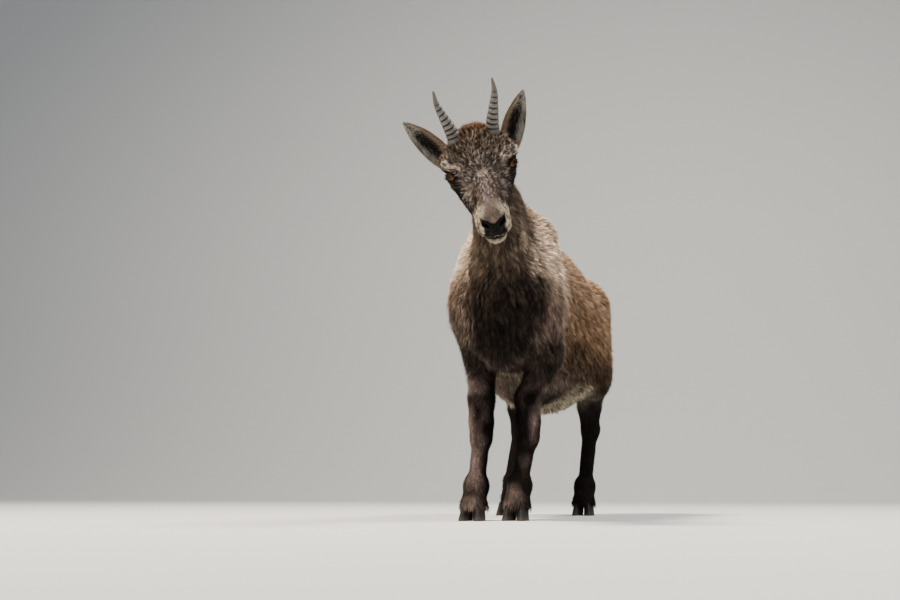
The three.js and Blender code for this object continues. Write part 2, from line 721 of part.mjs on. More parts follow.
const lower = flesh.intersect(beyond(level(LEG_CUT_HEIGHT), down, GAP / 2));
for (const [name, stance] of Object.entries(STANCE)) {
  const joints = jointsOf(stance);
  const legPart = quarter(lower, name).add(join(dewclaws(name)));
  const bend = level(joints.joint[2] - 8);
  const fore = stance.joints === FORE;
  const upper = legPart.intersect(beyond(bend, up, GAP / 2));
  add(`${fore ? "forearm" : "gaskin"}_${name}`, largest(upper), COLOURS.leg);
  const cannon = legPart
    .intersect(beyond(bend, down, GAP / 2))
    .intersect(beyond(level(CORONET_HEIGHT), up, 0));
  add(`cannon_${name}`, largest(cannon), COLOURS.leg);
  for (const side of [-1, 1]) {
    const place = side === stance.side ? "outer" : "inner";
    add(`hoof_${name}_${place}`, claw([joints.coronet[0], joints.coronet[1] - 4], side), COLOURS.hoof, 0.5);
  }
}

for (const [side, name] of [[1, "left"], [-1, "right"]]) {
  const globe = new THREE.SphereGeometry(EYE_RADIUS, 14, 10).applyMatrix4(eyeFrame(side));
  add(`eye_${name}`, placed(globe, HEAD_POSE), COLOURS.eye, 0.1);
  add(`horn_${name}`, placed(horn(side), HEAD_POSE), COLOURS.horn, 0.6);
  add(`ear_${name}`, placed(earShape(side), HEAD_POSE), COLOURS.ear);
}

// The hips' sway, as a shift across that grows along the back.
function sway(shape) {
  const corners = shape.attributes.position;
  for (let i = 0; i < corners.count; i++) {
    corners.setX(i, corners.getX(i) + HIP_SWAY * smooth(corners.getY(i), -200, 270));
  }
  return shape;
}

const ibex = new THREE.Group();
for (const { name, made, colour, roughness } of nodes) {
  const material = new THREE.MeshStandardMaterial({ color: colour, roughness, metalness: 0 });
  const mesh = new THREE.Mesh(sway(geometryOf(made)), material);
  mesh.name = name;
  ibex.add(mesh);
}

// The origin is on the floor, midway along and across the whole animal.
const extent = new THREE.Box3().setFromObject(ibex);
const middle = extent.getCenter(point(0, 0, 0));
ibex.position.set(-middle.x, -middle.y, -extent.min.z);

export default ibex;
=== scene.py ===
"""A young alpine ibex, life size, in its summer coat.

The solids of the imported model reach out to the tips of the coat. Here one skin takes the place of
the nodes of flesh, inside them by the depth of the coat, and tufts of hair cover it. The eyes, horns,
ears and claws are pieces of their own. Sizes are in millimetres in the ibex's own plan, with +X to
its left, -Y forward and +Z up, and go to metres in the model's frame only when a mesh is made.
"""

from __future__ import annotations

import logging
import math
from collections.abc import Callable
from dataclasses import dataclass, field
from enum import Enum

import bpy
import numpy as np
from mathutils import Matrix, Vector


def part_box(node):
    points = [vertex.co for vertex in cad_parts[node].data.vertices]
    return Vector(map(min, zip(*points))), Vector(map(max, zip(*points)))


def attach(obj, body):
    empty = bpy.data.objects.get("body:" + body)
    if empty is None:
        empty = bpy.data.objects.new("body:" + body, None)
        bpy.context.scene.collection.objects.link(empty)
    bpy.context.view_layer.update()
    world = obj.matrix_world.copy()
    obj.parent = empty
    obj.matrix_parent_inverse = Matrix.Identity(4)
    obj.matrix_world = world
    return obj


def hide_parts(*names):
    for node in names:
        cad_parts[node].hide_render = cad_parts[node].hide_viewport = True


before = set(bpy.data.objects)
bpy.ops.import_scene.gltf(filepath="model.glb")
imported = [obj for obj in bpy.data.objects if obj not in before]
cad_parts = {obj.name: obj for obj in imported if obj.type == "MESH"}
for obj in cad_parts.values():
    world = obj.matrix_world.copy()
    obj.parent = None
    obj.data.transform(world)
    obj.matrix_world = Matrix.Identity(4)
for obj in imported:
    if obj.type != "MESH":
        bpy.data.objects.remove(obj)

LOG = logging.getLogger("ibex")
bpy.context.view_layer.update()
MM = 0.001

# Driving sizes, the same as the solids'.
WITHERS = 640.0
CROUP = 552.0
CHEST_HALF_WIDTH = 112.0
BARREL_HALF_WIDTH = 128.0
HAUNCH_HALF_WIDTH = 126.0
CHEST_FRONT_Y = -262.0
RUMP_Y = 366.0
HIP_SWAY = 38.0
KNEE_HEIGHT = 178.0
HOCK_HEIGHT = 210.0
FETLOCK_HEIGHT = 67.0
CORONET_HEIGHT = 31.0
EYES_MIDPOINT = (16.0, -427.5, 630.5)
HEAD_PITCH = 53.0
HEAD_YAW = 15.0
HEAD_ROLL = 12.5
HEAD_VIEW_DROP = 16.0
EYE_SIDE = 51.0
EYE_RADIUS = 13.5
LID_OPENING = (25.0, 15.0)
HORN_RADIUS = 15.0
HORN_RINGS = 9
EAR_LENGTH = 103.0
EAR_HALF_WIDTH = 23.0
TAIL_LENGTH = 105.0

Array = np.ndarray
Point = tuple[float, float, float]
Axes = tuple[Array, Array, Array]


# Numbers


def smooth(value: Array, low: float, high: float) -> Array:
    """Give 0 below low, 1 above high, and an easy ramp between."""
    t = np.clip((value - low) / (high - low), 0.0, 1.0)
    return t * t * (3.0 - 2.0 * t)


def fade(value: Array, low: float, high: float) -> Array:
    """Give 1 below low, 0 above high, and an easy ramp between."""
    return 1 - smooth(value, low, high)


def hump(value: Array, width: float | Array) -> Array:
    """Give 1 at zero, falling off over `width` to both sides."""
    return np.exp(-((value / width) ** 2))


def mix(a: Array | float, b: Array | float, t: Array | float) -> Array | float:
    """Blend from a to b."""
    return a + (b - a) * t


def blend(rows: Array, others: Array | Point, shares: Array) -> Array:
    """Blend each row by its own share towards another row, or towards one for all."""
    return mix(rows, np.asarray(others), shares[:, None])


def unit(vectors: Array) -> Array:
    """Scale each row to a length of 1."""
    return vectors / np.maximum(np.linalg.norm(vectors, axis=-1, keepdims=True), 1e-9)


def flatten(vectors: Array, normals: Array) -> Array:
    """Lay each direction along the surface that its normal stands on."""
    return unit(vectors - normals * np.sum(vectors * normals, axis=1)[:, None])


def side_name(side: int) -> str:
    """Name the side: 1 is the left, -1 the right."""
    return "left" if side > 0 else "right"


def linear(colour: str) -> Array:
    """Turn an sRGB hex colour into linear red, green and blue.

    Args:
        colour: Six hex digits after a hash.

    Returns:
        Three linear values from 0 to 1.
    """
    parts = np.array([int(colour[i : i + 2], 16) for i in (1, 3, 5)]) / 255.0
    return np.where(parts <= 0.04045, parts / 12.92, ((parts + 0.055) / 1.055) ** 2.4)


def hashed(cells: Array, seed: int) -> Array:
    """Give each whole-numbered cell a repeatable value from 0 to 1.

    Args:
        cells: Integer cells, one row each.
        seed: Which set of values.

    Returns:
        One value per cell.
    """
    a = cells.astype(np.int64)
    mixed = (a[..., 0] * 73856093) ^ (a[..., 1] * 19349663) ^ (a[..., 2] * 83492791) ^ (seed * 2654435761)
    mixed = (mixed ^ (mixed >> 13)) * 1274126177
    return ((mixed ^ (mixed >> 16)) & 0xFFFFFF) / float(0xFFFFFF)


def noise(points: Array, size: float, seed: int) -> Array:
    """Smooth lumps of noise.

    Args:
        points: Places in millimetres, one row each.
        size: How far apart the lumps are, in millimetres.
        seed: Which noise.

    Returns:
        One value from -1 to 1 per point.
    """
    scaled = points / size
    base = np.floor(scaled).astype(np.int64)
    part = scaled - base
    part = part * part * (3 - 2 * part)
    total = np.zeros(len(points))
    for corner in range(8):
        step = np.array([corner & 1, (corner >> 1) & 1, (corner >> 2) & 1])
        weight = np.prod(np.where(step == 1, part, 1 - part), axis=1)
        total += weight * hashed(base + step, seed)
    return total * 2 - 1


def drift(points: Array, size: float, seed: int) -> Array:
    """Give three noises for each point, as a direction."""
    return np.stack([noise(points, size, seed + axis) for axis in range(3)], axis=1)


# Masses of flesh, each as its distance from a point


@dataclass(frozen=True)
class Rod:
    """A tapered rod, whose section is `wide` times as wide across the body as deep."""

    start: Point
    end: Point
    start_radius: float
    end_radius: float
    wide: float = 1.0

    def box(self) -> tuple[Array, Array]:
        """Give the lowest and highest corners of the rod."""
        reach = max(self.start_radius, self.end_radius) * max(1.0, self.wide)
        ends = np.array([self.start, self.end])
        return ends.min(0) - reach, ends.max(0) + reach

    def distance(self, x: Array, y: Array, z: Array) -> Array:
        """Measure how far outside the rod each place is."""
        (ax, ay, az), (bx, by, bz) = self.start, self.end
        ux, uy, uz = (bx - ax) / self.wide, by - ay, bz - az
        px, py, pz = (x - ax) / self.wide, y - ay, z - az
        t = np.clip((px * ux + py * uy + pz * uz) / (ux * ux + uy * uy + uz * uz), 0, 1)
        far = np.sqrt((px - t * ux) ** 2 + (py - t * uy) ** 2 + (pz - t * uz) ** 2)
        return (far - (self.start_radius + (self.end_radius - self.start_radius) * t)) * min(1.0, self.wide)


@dataclass(frozen=True)
class Ball:
    """An ellipsoid."""

    centre: Point
    radii: Point

    def box(self) -> tuple[Array, Array]:
        """Give the lowest and highest corners of the ball."""
        return np.array(self.centre) - self.radii, np.array(self.centre) + self.radii

    def distance(self, x: Array, y: Array, z: Array) -> Array:
        """Measure how far outside the ball each place is, nearly."""
        qx, qy, qz = ((v - c) / r for v, c, r in zip((x, y, z), self.centre, self.radii))
        reach = np.sqrt(qx * qx + qy * qy + qz * qz) + 1e-6
        rx, ry, rz = self.radii
        slope = np.sqrt((qx / rx) ** 2 + (qy / ry) ** 2 + (qz / rz) ** 2) + 1e-6
        return reach * (reach - 1) / slope


def smin(a: Array, b: Array, softness: float) -> Array:
    """Join two distances over a seam about `softness` wide."""
    overlap = np.maximum(softness - np.abs(a - b), 0) / softness
    return np.minimum(a, b) - overlap * overlap * (softness / 4)


def smax(a: Array, b: Array, softness: float) -> Array:
    """Keep what is inside both distances, with an edge rounded by `softness`."""
    return -smin(-a, -b, softness)


def fuse(masses: list[Rod | Ball], x: Array, y: Array, z: Array, softness: float) -> Array:
    """Run masses into one another.

    Args:
        masses: The masses, in the order in which they join.
        x: First coordinates of the places.
        y: Second coordinates.
        z: Third coordinates.
        softness: Width of the seams between masses.

    Returns:
        The distance outside all of them.
    """
    near = masses[0].distance(x, y, z)
    for mass in masses[1:]:
        near = smin(near, mass.distance(x, y, z), softness)
    return near


def both(make: Callable[[int], list[Rod | Ball]]) -> list[Rod | Ball]:
    """Make the masses of the left side and of the right side."""
    return [mass for side in (1, -1) for mass in make(side)]


# The head's pose


def turn(axis: Point, degrees: float) -> Array:
    """Make the matrix that turns about an axis."""
    return np.array(Matrix.Rotation(math.radians(degrees), 3, Vector(axis)))


class HeadPose:
    """The head's own frame: its origin is midway between the eyes, -Y to the nose, +Z up its brow."""

    def __init__(self) -> None:
        """Work out the turn from the three angles."""
        yaw, drop = math.radians(HEAD_YAW), math.radians(HEAD_VIEW_DROP)
        view = (math.sin(yaw) * math.cos(drop), -math.cos(yaw) * math.cos(drop), -math.sin(drop))
        self.turn = turn(view, HEAD_ROLL) @ turn((0, 0, 1), HEAD_YAW) @ turn((1, 0, 0), HEAD_PITCH)
        self.origin = np.array(EYES_MIDPOINT)

    def place(self, points: Array) -> Array:
        """Take points from the head's frame to the body's."""
        return np.asarray(points, float) @ self.turn.T + self.origin

    def point(self, x: float, y: float, z: float) -> Point:
        """Take one point from the head's frame to the body's."""
        return tuple(self.place(np.array([x, y, z])))

    def direct(self, vectors: Array) -> Array:
        """Turn directions from the head's frame to the body's."""
        return np.asarray(vectors, float) @ self.turn.T

    def local(self, points: Array) -> Array:
        """Take points from the body's frame to the head's."""
        return (points - self.origin) @ self.turn


POSE = HeadPose()


def eye_frame(side: int) -> tuple[Array, Array]:
    """Give the middle of an eye and its axes: along the slit, up the brow and out.

    Args:
        side: 1 on the left, -1 on the right.

    Returns:
        The middle, and the three axes as rows, in the head's frame.
    """
    out = unit(np.array([side * 0.7, -0.67, 0.2]))
    along = np.array([0, 1, 0.12])
    along = unit(along - out * (out @ along))
    return np.array([side * EYE_SIDE, 0, -1.0]), np.array([along, np.cross(out, along) * side, out])


def eye_axes(side: int, local: Array) -> Array:
    """Measure places of the head's frame along, up and out from the middle of one eye."""
    middle, axes = eye_frame(side)
    return ((local - middle) @ axes.T).T


# The body's plan


@dataclass(frozen=True)
class Leg:
    """One leg: its joints from the top down, x measured out from the middle, and its own step."""

    name: str
    fore: bool
    side: int
    across: float
    along: float
    elbow_across: float
    knee_across: float

    def joints(self) -> dict[str, Point]:
        """Give the joints in place. A foot's step fades out up the leg."""
        if self.fore:
            rest = {"top": (72, -172, 400), "elbow": (68, -132, 330), "joint": (60, -150, KNEE_HEIGHT)}
            rest |= {"fetlock": (52, -152, FETLOCK_HEIGHT), "coronet": (52, -170, CORONET_HEIGHT)}
        else:
            rest = {"top": (70, 225, 450), "elbow": (84, 178, 330), "joint": (74, 314, HOCK_HEIGHT)}
            rest |= {"fetlock": (74, 304, FETLOCK_HEIGHT), "coronet": (74, 286, CORONET_HEIGHT)}
        steps = {"elbow": (self.elbow_across, 0.0), "joint": (self.knee_across, self.along * 0.55)}
        steps |= {"fetlock": (self.across, self.along), "coronet": (self.across, self.along)}
        placed = {}
        for name, (x, y, z) in rest.items():
            sideways, ahead = steps.get(name, (0.0, 0.0))
            placed[name] = (self.side * (x + sideways), y + ahead, z)
        return placed

    def masses(self) -> list[Rod | Ball]:
        """Give the leg's masses."""
        j = self.joints()
        knee, fetlock, coronet = j["joint"], j["fetlock"], j["coronet"]

        def off(p: Point, dx: float, dy: float, dz: float) -> Point:
            """Step off from a joint."""
            return (p[0] + dx, p[1] + dy, p[2] + dz)

        foot = [
            Rod(off(knee, 0, 0, -16 if self.fore else -10), fetlock, 21.5, 19.5, 0.9),
            Ball(off(fetlock, 0, 2, 0), (24, 25, 24)),
            Rod(fetlock, coronet, 22, 24, 1.02),
            Rod(coronet, off(coronet, 0, -4, -22), 24, 24, 1.04),
        ]
        if self.fore:
            return [
                Rod(j["top"], j["elbow"], 58, 50, 0.7),
                Rod(j["elbow"], off(knee, 0, 2, 56), 46, 31, 0.84),
                Rod(off(knee, 0, 2, 60), off(knee, 0, 0, 14), 29, 24, 0.94),
                Rod(off(knee, 0, -2, 14), off(knee, 0, -2, -16), 25, 23, 1.0),
                Ball(off(knee, 0, 14, 4), (15, 12, 20)),
                *foot,
            ]
        heel = off(knee, 0, 22, 20)
        return [
            Rod(j["top"], j["elbow"], 84, 60, 0.58),
            Rod(j["elbow"], off(knee, 0, -14, 44), 56, 34, 0.8),
            Rod(off(j["elbow"], 0, 66, -34), heel, 21, 13, 0.84),
            Rod(off(knee, 0, -14, 44), off(knee, 0, -2, -8), 31, 25, 0.92),
            Rod(heel, off(knee, 0, 10, -14), 14.5, 16, 1.0),
            *foot,
        ]


LEGS = (
    Leg("fore_right", True, -1, 10, -20, -4, -6),
    Leg("fore_left", True, 1, -36, 10, 4, -24),
    Leg("hind_right", False, -1, 60, -26, 10, 38),
    Leg("hind_left", False, 1, -40, 20, -2, -24),
)

TRUNK: list[Rod | Ball] = [
    Rod((0, -120, 446), (0, 70, 438), 162, 158, CHEST_HALF_WIDTH / 162),
    Ball((-12, 96, 390), (BARREL_HALF_WIDTH + 14, 188, 168)),
    Rod((0, -110, WITHERS - 54), (0, 225, CROUP - 50), 48, 40, 1.15),
    Ball((0, -118, WITHERS - 44), (42, 85, 40)),
    Rod((0, 190, 466), (0, 290, 444), 83, 71, 0.96),
    Ball((0, RUMP_Y - 50, 446), (80, 50, 74)),
    Ball((0, CHEST_FRONT_Y + 48, 378), (58, 52, 90)),
    Rod((0, -150, 500), (8, -235, 552), 78, 64, 0.62),
    *both(
        lambda side: [
            Rod((side * 62, -108, 568), (side * 68, -200, 425), 46, 54, 0.6),
            Rod((side * 70, -200, 425), (side * 68, -128, 345), 50, 44, 0.66),
            Rod((side * 66, 240, 450), (side * (HAUNCH_HALF_WIDTH - 34), 186, 322), 87, 68, 0.54),
            Ball((side * 52, 216, 478), (52, 86, 46)),
            Rod((side * 60, 312, 452), (side * 72, 286, 322), 48, 41, 0.72),
        ]
    ),
]

NECK_BASE: Point = (2, -150, 505)
NECK_MIDDLE: Point = (12, -272, 592)
NECK_TOP = POSE.point(0, 50, -20)
NECK: list[Rod | Ball] = [
    Rod(NECK_BASE, NECK_MIDDLE, 78, 60, 0.64),
    Rod(NECK_MIDDLE, NECK_TOP, 60, 46, 0.74),
    Rod((14, -236, 432), (16, -298, 545), 52, 50, 0.74),
    Rod((16, -298, 545), POSE.point(0, 26, -54), 50, 36, 0.8),
    Rod((0, -110, 586), POSE.point(0, 74, 6), 42, 32, 0.86),
]

HEAD: list[Rod | Ball] = [
    Ball((0, 38, 0), (56, 58, 49)),
    Rod((0, 54, 22), (0, -6, 13), 28, 23, 1.7),
    Rod((0, -10, 6), (0, -104, -18), 26, 19, 1.02),
    Rod((0, -40, -24), (0, -108, -40), 33, 28, 0.86),
    Rod((0, 64, 8), (0, 76, -10), 40, 40, 1.05),
    Ball((0, -116, -22), (22, 14, 15)),
    Ball((0, -107, -74), (17, 17, 13)),
    *both(
        lambda side: [
            Ball((side * 42, 32, 6), (20, 32, 28)),
            Ball((side * 54, 10, 12), (18, 20, 16)),
            Ball((side * 44, 14, -18), (19, 32, 20)),
            Rod((side * 39, -8, -20), (side * 15, -96, -38), 20, 15, 1.0),
            Ball((side * 30, 34, -44), (18, 40, 34)),
            Rod((side * 25, 44, -62), (side * 9, -98, -69), 17, 12, 0.9),
            Ball((side * 15, -113, -42), (15, 15, 18)),
        ]
    ),
]

TAIL_ROOT = np.array([0.0, RUMP_Y - 8, 498.0])
TAIL_AHEAD = unit(np.array([0.0, 0.42, -0.91]))


def sway(y: Array) -> Array:
    """Give how far the hips stand to the left at each place along the body."""
    return HIP_SWAY * smooth(y, -200, 270)


def frame_shift() -> Array:
    """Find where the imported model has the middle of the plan, from its two eyes."""
    middles = [np.mean(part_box(f"eye_{side}"), axis=0) for side in ("left", "right")]
    eyes = np.mean(middles, axis=0) / MM
    return eyes - POSE.place(np.array([0, 0, -1.0]))


SHIFT = frame_shift()


def to_frame(points: Array) -> Array:
    """Take points from the plan, in millimetres, to the model's frame, in metres."""
    moved = points + SHIFT
    moved[:, 0] += sway(points[:, 1])
    return moved * MM


# Where each part of the coat is


@dataclass
class Places:
    """How far each root belongs to each part of the animal, from 0 to 1."""

    points: Array
    normals: Array
    local: Array = field(init=False)
    head: Array = field(init=False)
    neck: Array = field(init=False)
    fore: Array = field(init=False)
    hind: Array = field(init=False)
    tail: Array = field(init=False)
    limbs: Array = field(init=False)

    def __post_init__(self) -> None:
        """Work out the parts from the places alone."""
        p = self.points
        self.local = POSE.local(p)
        nape = (self.local[:, 1] - 62) * -0.93 + (self.local[:, 2] - 20) * 0.37
        self.head = smooth(nape, -16, 10) * smooth(self.local[:, 2], -98, -82)
        neck_line = (p[:, 1] + 215) * -0.78 + (p[:, 2] - 560) * 0.62
        self.neck = smooth(neck_line, -46, 30) * (1 - self.head)
        low = fade(p[:, 2], 235, 345)
        self.fore = low * fade(p[:, 1], 20, 60)
        self.hind = low * smooth(p[:, 1], 100, 160)
        along = (p - TAIL_ROOT) @ TAIL_AHEAD
        off = np.linalg.norm(p - TAIL_ROOT - along[:, None] * TAIL_AHEAD, axis=1)
        self.tail = smooth(along, 8, 26) * fade(off, 20, 30) * smooth(p[:, 1], 362, 374)
        self.limbs = np.maximum(self.fore, self.hind)


def nose_pad(local: Array) -> Array:
    """Give how far each place is on the bare black nose, from 0 to 1."""
    x, y, z = local.T
    ax = np.abs(x)
    front = smooth(-y, 110, 116)
    top = -16.5 + 0.04 * ax - 6.0 * hump(ax, 7.0)
    low = -38.5 + 0.4 * ax
    return front * smooth(top - z, -1.5, 1.5) * smooth(z - low, -1.5, 1.5) * fade(ax, 20.5, 23.5)


def mouth_height(y: Array) -> Array:
    """Give the height of the line between the lips at each distance along the muzzle."""
    t = np.clip((y + 98) / 22, 0, 1)
    return mix(-59.5, -49.0, t * t)


def coat_depth(points: Array) -> Array:
    """Give how far the skin lies inside the tips of the coat."""
    place = Places(points, points)
    y = place.local[:, 1]
    depth = mix(10.5, 8.5, place.neck)
    depth = mix(depth, 2.6, place.limbs * fade(points[:, 2], 190, 330))
    head = mix(mix(2.6, 1.2, smooth(-y, 70, 105)), 6.5, smooth(y, 40, 70))
    depth = mix(depth, head, place.head)
    return mix(depth, 0.3, nose_pad(place.local) * place.head)


# Meshes


def surface_net(axes: Axes, values: Array) -> tuple[Array, Array]:
    """Draw the surface where the values pass through zero.

    Args:
        axes: The three coordinate lines of the grid.
        values: The distance at each grid point, negative inside.

    Returns:
        Corners, and four-cornered faces that look outwards.
    """
    inside = values < 0
    count = np.zeros(tuple(n - 1 for n in values.shape), np.uint8)
    corners = [(i, j, k) for i in (0, 1) for j in (0, 1) for k in (0, 1)]
    nx, ny, nz = count.shape
    for i, j, k in corners:
        count += inside[i : i + nx, j : j + ny, k : k + nz]
    active = (count > 0) & (count < 8)
    cells = np.argwhere(active)
    index = np.full(active.shape, -1, np.int32)
    index[active] = np.arange(len(cells))
    total = np.zeros((len(cells), 3))
    crossings = np.zeros(len(cells))
    for a in corners:
        for axis in range(3):
            if a[axis]:
                continue
            b = list(a)
            b[axis] = 1
            va = values[cells[:, 0] + a[0], cells[:, 1] + a[1], cells[:, 2] + a[2]].astype(float)
            vb = values[cells[:, 0] + b[0], cells[:, 1] + b[1], cells[:, 2] + b[2]].astype(float)
            crossed = (va < 0) != (vb < 0)
            t = np.where(crossed, va / np.where(crossed, va - vb, 1), 0)
            place = np.tile(np.array(a, float), (len(cells), 1))
            place[:, axis] = t
            total += place * crossed[:, None]
            crossings += crossed
    part = total / crossings[:, None]
    low = np.stack([axes[n][cells[:, n]] for n in range(3)], axis=1)
    high = np.stack([axes[n][cells[:, n] + 1] for n in range(3)], axis=1)
    vertices = low + part * (high - low)
    faces = []
    for axis in range(3):
        u, v = (axis + 1) % 3, (axis + 2) % 3
        solid = np.moveaxis(inside, (axis, u, v), (0, 1, 2))
        cell = np.moveaxis(index, (axis, u, v), (0, 1, 2))
        edges = np.argwhere(solid[:-1, 1:-1, 1:-1] != solid[1:, 1:-1, 1:-1])
        i, j, k = edges[:, 0], edges[:, 1] + 1, edges[:, 2] + 1
        quad = np.stack([cell[i, j - 1, k - 1], cell[i, j, k - 1], cell[i, j, k], cell[i, j - 1, k]], axis=1)
        away = ~solid[i, j, k]
        quad[away] = quad[away][:, ::-1]
        faces.append(quad)
    return vertices, np.concatenate(faces)


def relax(vertices: Array, faces: Array, rounds: int, strength: Array | float) -> Array:
    """Ease each corner towards the middle of its neighbours.

    Args:
        vertices: The corners.
        faces: Four-cornered faces.
        rounds: How many times.
        strength: How far, from 0 to 1, for all corners or for each.

    Returns:
        The eased corners.
    """
    edges = np.concatenate([faces[:, [n, (n + 1) % 4]] for n in range(4)])
    one, other = edges[:, 0], edges[:, 1]
    count = np.maximum(np.bincount(one, minlength=len(vertices)), 1)
    for _ in range(rounds):
        middle = np.stack([np.bincount(one, vertices[other, n], len(vertices)) for n in range(3)], axis=1)
        vertices = vertices + (middle / count[:, None] - vertices) * np.reshape(strength, (-1, 1))
    return vertices


def make_mesh(name: str, points: Array, faces: Array, material: bpy.types.Material) -> bpy.types.Object:
    """Make an object from points in the model's frame and faces of one number of corners.

    Args:
        name: The piece's name.
        points: Corners in metres.
        faces: Corner numbers, one row a face.
        material: Its finish.

    Returns:
        The new object, smooth shaded.
    """
    mesh = bpy.data.meshes.new(name)
    sides = faces.shape[1]
    mesh.vertices.add(len(points))
    mesh.vertices.foreach_set("co", np.ascontiguousarray(points, np.float32).ravel())
    mesh.loops.add(faces.size)
    mesh.loops.foreach_set("vertex_index", np.ascontiguousarray(faces, np.int32).ravel())
    mesh.polygons.add(len(faces))
    mesh.polygons.foreach_set("loop_start", np.arange(0, faces.size, sides, dtype=np.int32))
    mesh.polygons.foreach_set("use_smooth", np.ones(len(faces), bool))
    mesh.update(calc_edges=True)
    mesh.materials.append(material)
    piece = bpy.data.objects.new(name, mesh)
    bpy.context.scene.collection.objects.link(piece)
    return piece


def paint(piece: bpy.types.Object, name: str, colours: Array) -> None:
    """Give each corner of a piece a linear colour in a named attribute."""
    layer = piece.data.attributes.new(name, "FLOAT_COLOR", "POINT")
    flat = np.ones((len(colours), 4), np.float32)
    flat[:, :3] = colours
    layer.data.foreach_set("color", flat.ravel())


def measure(piece: bpy.types.Object, name: str, values: Array) -> None:
    """Give each corner of a piece a number in a named attribute."""
    layer = piece.data.attributes.new(name, "FLOAT", "POINT")
    layer.data.foreach_set("value", np.asarray(values, np.float32))


def grid_faces(rows: int, sides: int) -> Array:
    """Join rings of corners into a closed tube's faces.

    Args:
        rows: How many rings.
        sides: Corners in each ring.

    Returns:
        Four-cornered faces.
    """
    row, side = np.meshgrid(np.arange(rows - 1), np.arange(sides), indexing="ij")
    a = row * sides + side
    b = row * sides + (side + 1) % sides
    return np.stack([a, b, b + sides, a + sides], axis=-1).reshape(-1, 4)


# Materials


def add_node(
    tree: bpy.types.NodeTree,
    kind: str,
    settings: dict[str, object] | None = None,
    links: dict[str | int, bpy.types.NodeSocket] | None = None,
    values: dict[str | int, object] | None = None,
) -> bpy.types.Node:
    """Add a node with its settings, its values and the links into it.

    Args:
        tree: The material's node tree.
        kind: The node's type name.
        settings: Properties of the node itself.
        links: Output sockets to join to its inputs.
        values: Plain values for its inputs.

    Returns:
        The new node.
    """
    node = tree.nodes.new(kind)
    for name, value in (settings or {}).items():
        setattr(node, name, value)
    for name, value in (values or {}).items():
        node.inputs[name].default_value = value
    for name, socket in (links or {}).items():
        tree.links.new(socket, node.inputs[name])
    return node


def new_material(
    name: str, values: dict[str, object]
) -> tuple[bpy.types.Material, bpy.types.NodeTree, bpy.types.Node]:
    """Start a material.

    Args:
        name: Its name.
        values: Plain values for its shader's sockets.

    Returns:
        The material, its node tree and its shader.
    """
    material = bpy.data.materials.new(name)
    material.use_nodes = True
    tree = material.node_tree
    shader = tree.nodes["Principled BSDF"]
    for socket, value in values.items():
        shader.inputs[socket].default_value = value
    return material, tree, shader


def grained_coat(
    tree: bpy.types.NodeTree, shader: bpy.types.Node, grain: dict[str, float], dark: float, light: float
) -> bpy.types.Node:
    """Colour a material by the attribute Coat, broken up by a fine grain.

    Args:
        tree: The material's node tree.
        shader: Its shader.
        grain: Scale, Detail and Roughness of the grain.
        dark: What the colour is multiplied by in the grain's dark spots.
        light: What it is multiplied by in the light ones.

    Returns:
        The grain's noise.
    """
    coat = add_node(tree, "ShaderNodeAttribute", {"attribute_name": "Coat"})
    place = add_node(tree, "ShaderNodeTexCoord")
    specks = add_node(tree, "ShaderNodeTexNoise", links={"Vector": place.outputs["Object"]}, values=grain)
    shade = add_node(
        tree,
        "ShaderNodeMapRange",
        links={"Value": specks.outputs["Fac"]},
        values={"From Min": 0.3, "From Max": 0.7, "To Min": dark, "To Max": light},
    )
    tint = add_node(
        tree,
        "ShaderNodeMix",
        {"data_type": "RGBA", "blend_type": "MULTIPLY"},
        links={6: coat.outputs["Color"], 7: shade.outputs["Result"]},
        values={0: 1.0},
    )
    tree.links.new(tint.outputs[2], shader.inputs["Base Color"])
    return specks


@dataclass(frozen=True)
class FurFinish:
    """Hair as the tufts show it: keratin fibres, dull along their length with a faint sheen."""

    name: str = "ibex_hair"
    grain_mm: float = 1.6
    roughness: float = 0.72

    def make(self) -> bpy.types.Material:
        """Make the material. Each tuft's own colour is broken up as single hairs break it up."""
        dull = {"Specular IOR Level": 0.08, "Sheen Weight": 0.01, "Sheen Roughness": 0.5}
        material, tree, shader = new_material(self.name, dull | {"Roughness": self.roughness})
        grain = {"Scale": 1 / (self.grain_mm * MM), "Detail": 3.0, "Roughness": 0.6}
        grained_coat(tree, shader, grain, 0.74, 1.2)
        return material


@dataclass(frozen=True)
class SkinFinish:
    """The skin with its shortest hair: fur where it is covered, moist pebbled leather on the nose."""

    name: str = "ibex_skin"
    streak_mm: float = 1.4
    pebble_mm: float = 1.5
    hairy_roughness: float = 0.9
    bare_roughness: float = 0.42

    def make(self) -> bpy.types.Material:
        """Make the material. The attribute Bare is 1 where the skin has no hair."""
        material, tree, shader = new_material(self.name, {"Specular IOR Level": 0.06})
        grain = {"Scale": 1 / (self.streak_mm * MM), "Detail": 4.0, "Roughness": 0.65}
        streak = grained_coat(tree, shader, grain, 0.72, 1.12)
        bare = add_node(tree, "ShaderNodeAttribute", {"attribute_name": "Bare"})
        place = add_node(tree, "ShaderNodeTexCoord")
        spread = {"Scale": 1 / (self.pebble_mm * MM)}
        whole = {"Vector": place.outputs["Object"]}
        pebble = add_node(tree, "ShaderNodeTexVoronoi", links=whole, values=spread)
        height = add_node(
            tree,
            "ShaderNodeMix",
            {"data_type": "FLOAT"},
            links={0: bare.outputs["Fac"], 2: streak.outputs["Fac"], 3: pebble.outputs["Distance"]},
        )
        relief = {"Strength": 0.5, "Distance": 0.0007}
        bump = add_node(tree, "ShaderNodeBump", links={"Height": height.outputs[0]}, values=relief)
        ends = {"To Min": self.hairy_roughness, "To Max": self.bare_roughness}
        rough = add_node(tree, "ShaderNodeMapRange", links={"Value": bare.outputs["Fac"]}, values=ends)
        tree.links.new(bump.outputs["Normal"], shader.inputs["Normal"])
        tree.links.new(rough.outputs["Result"], shader.inputs["Roughness"])
        return material


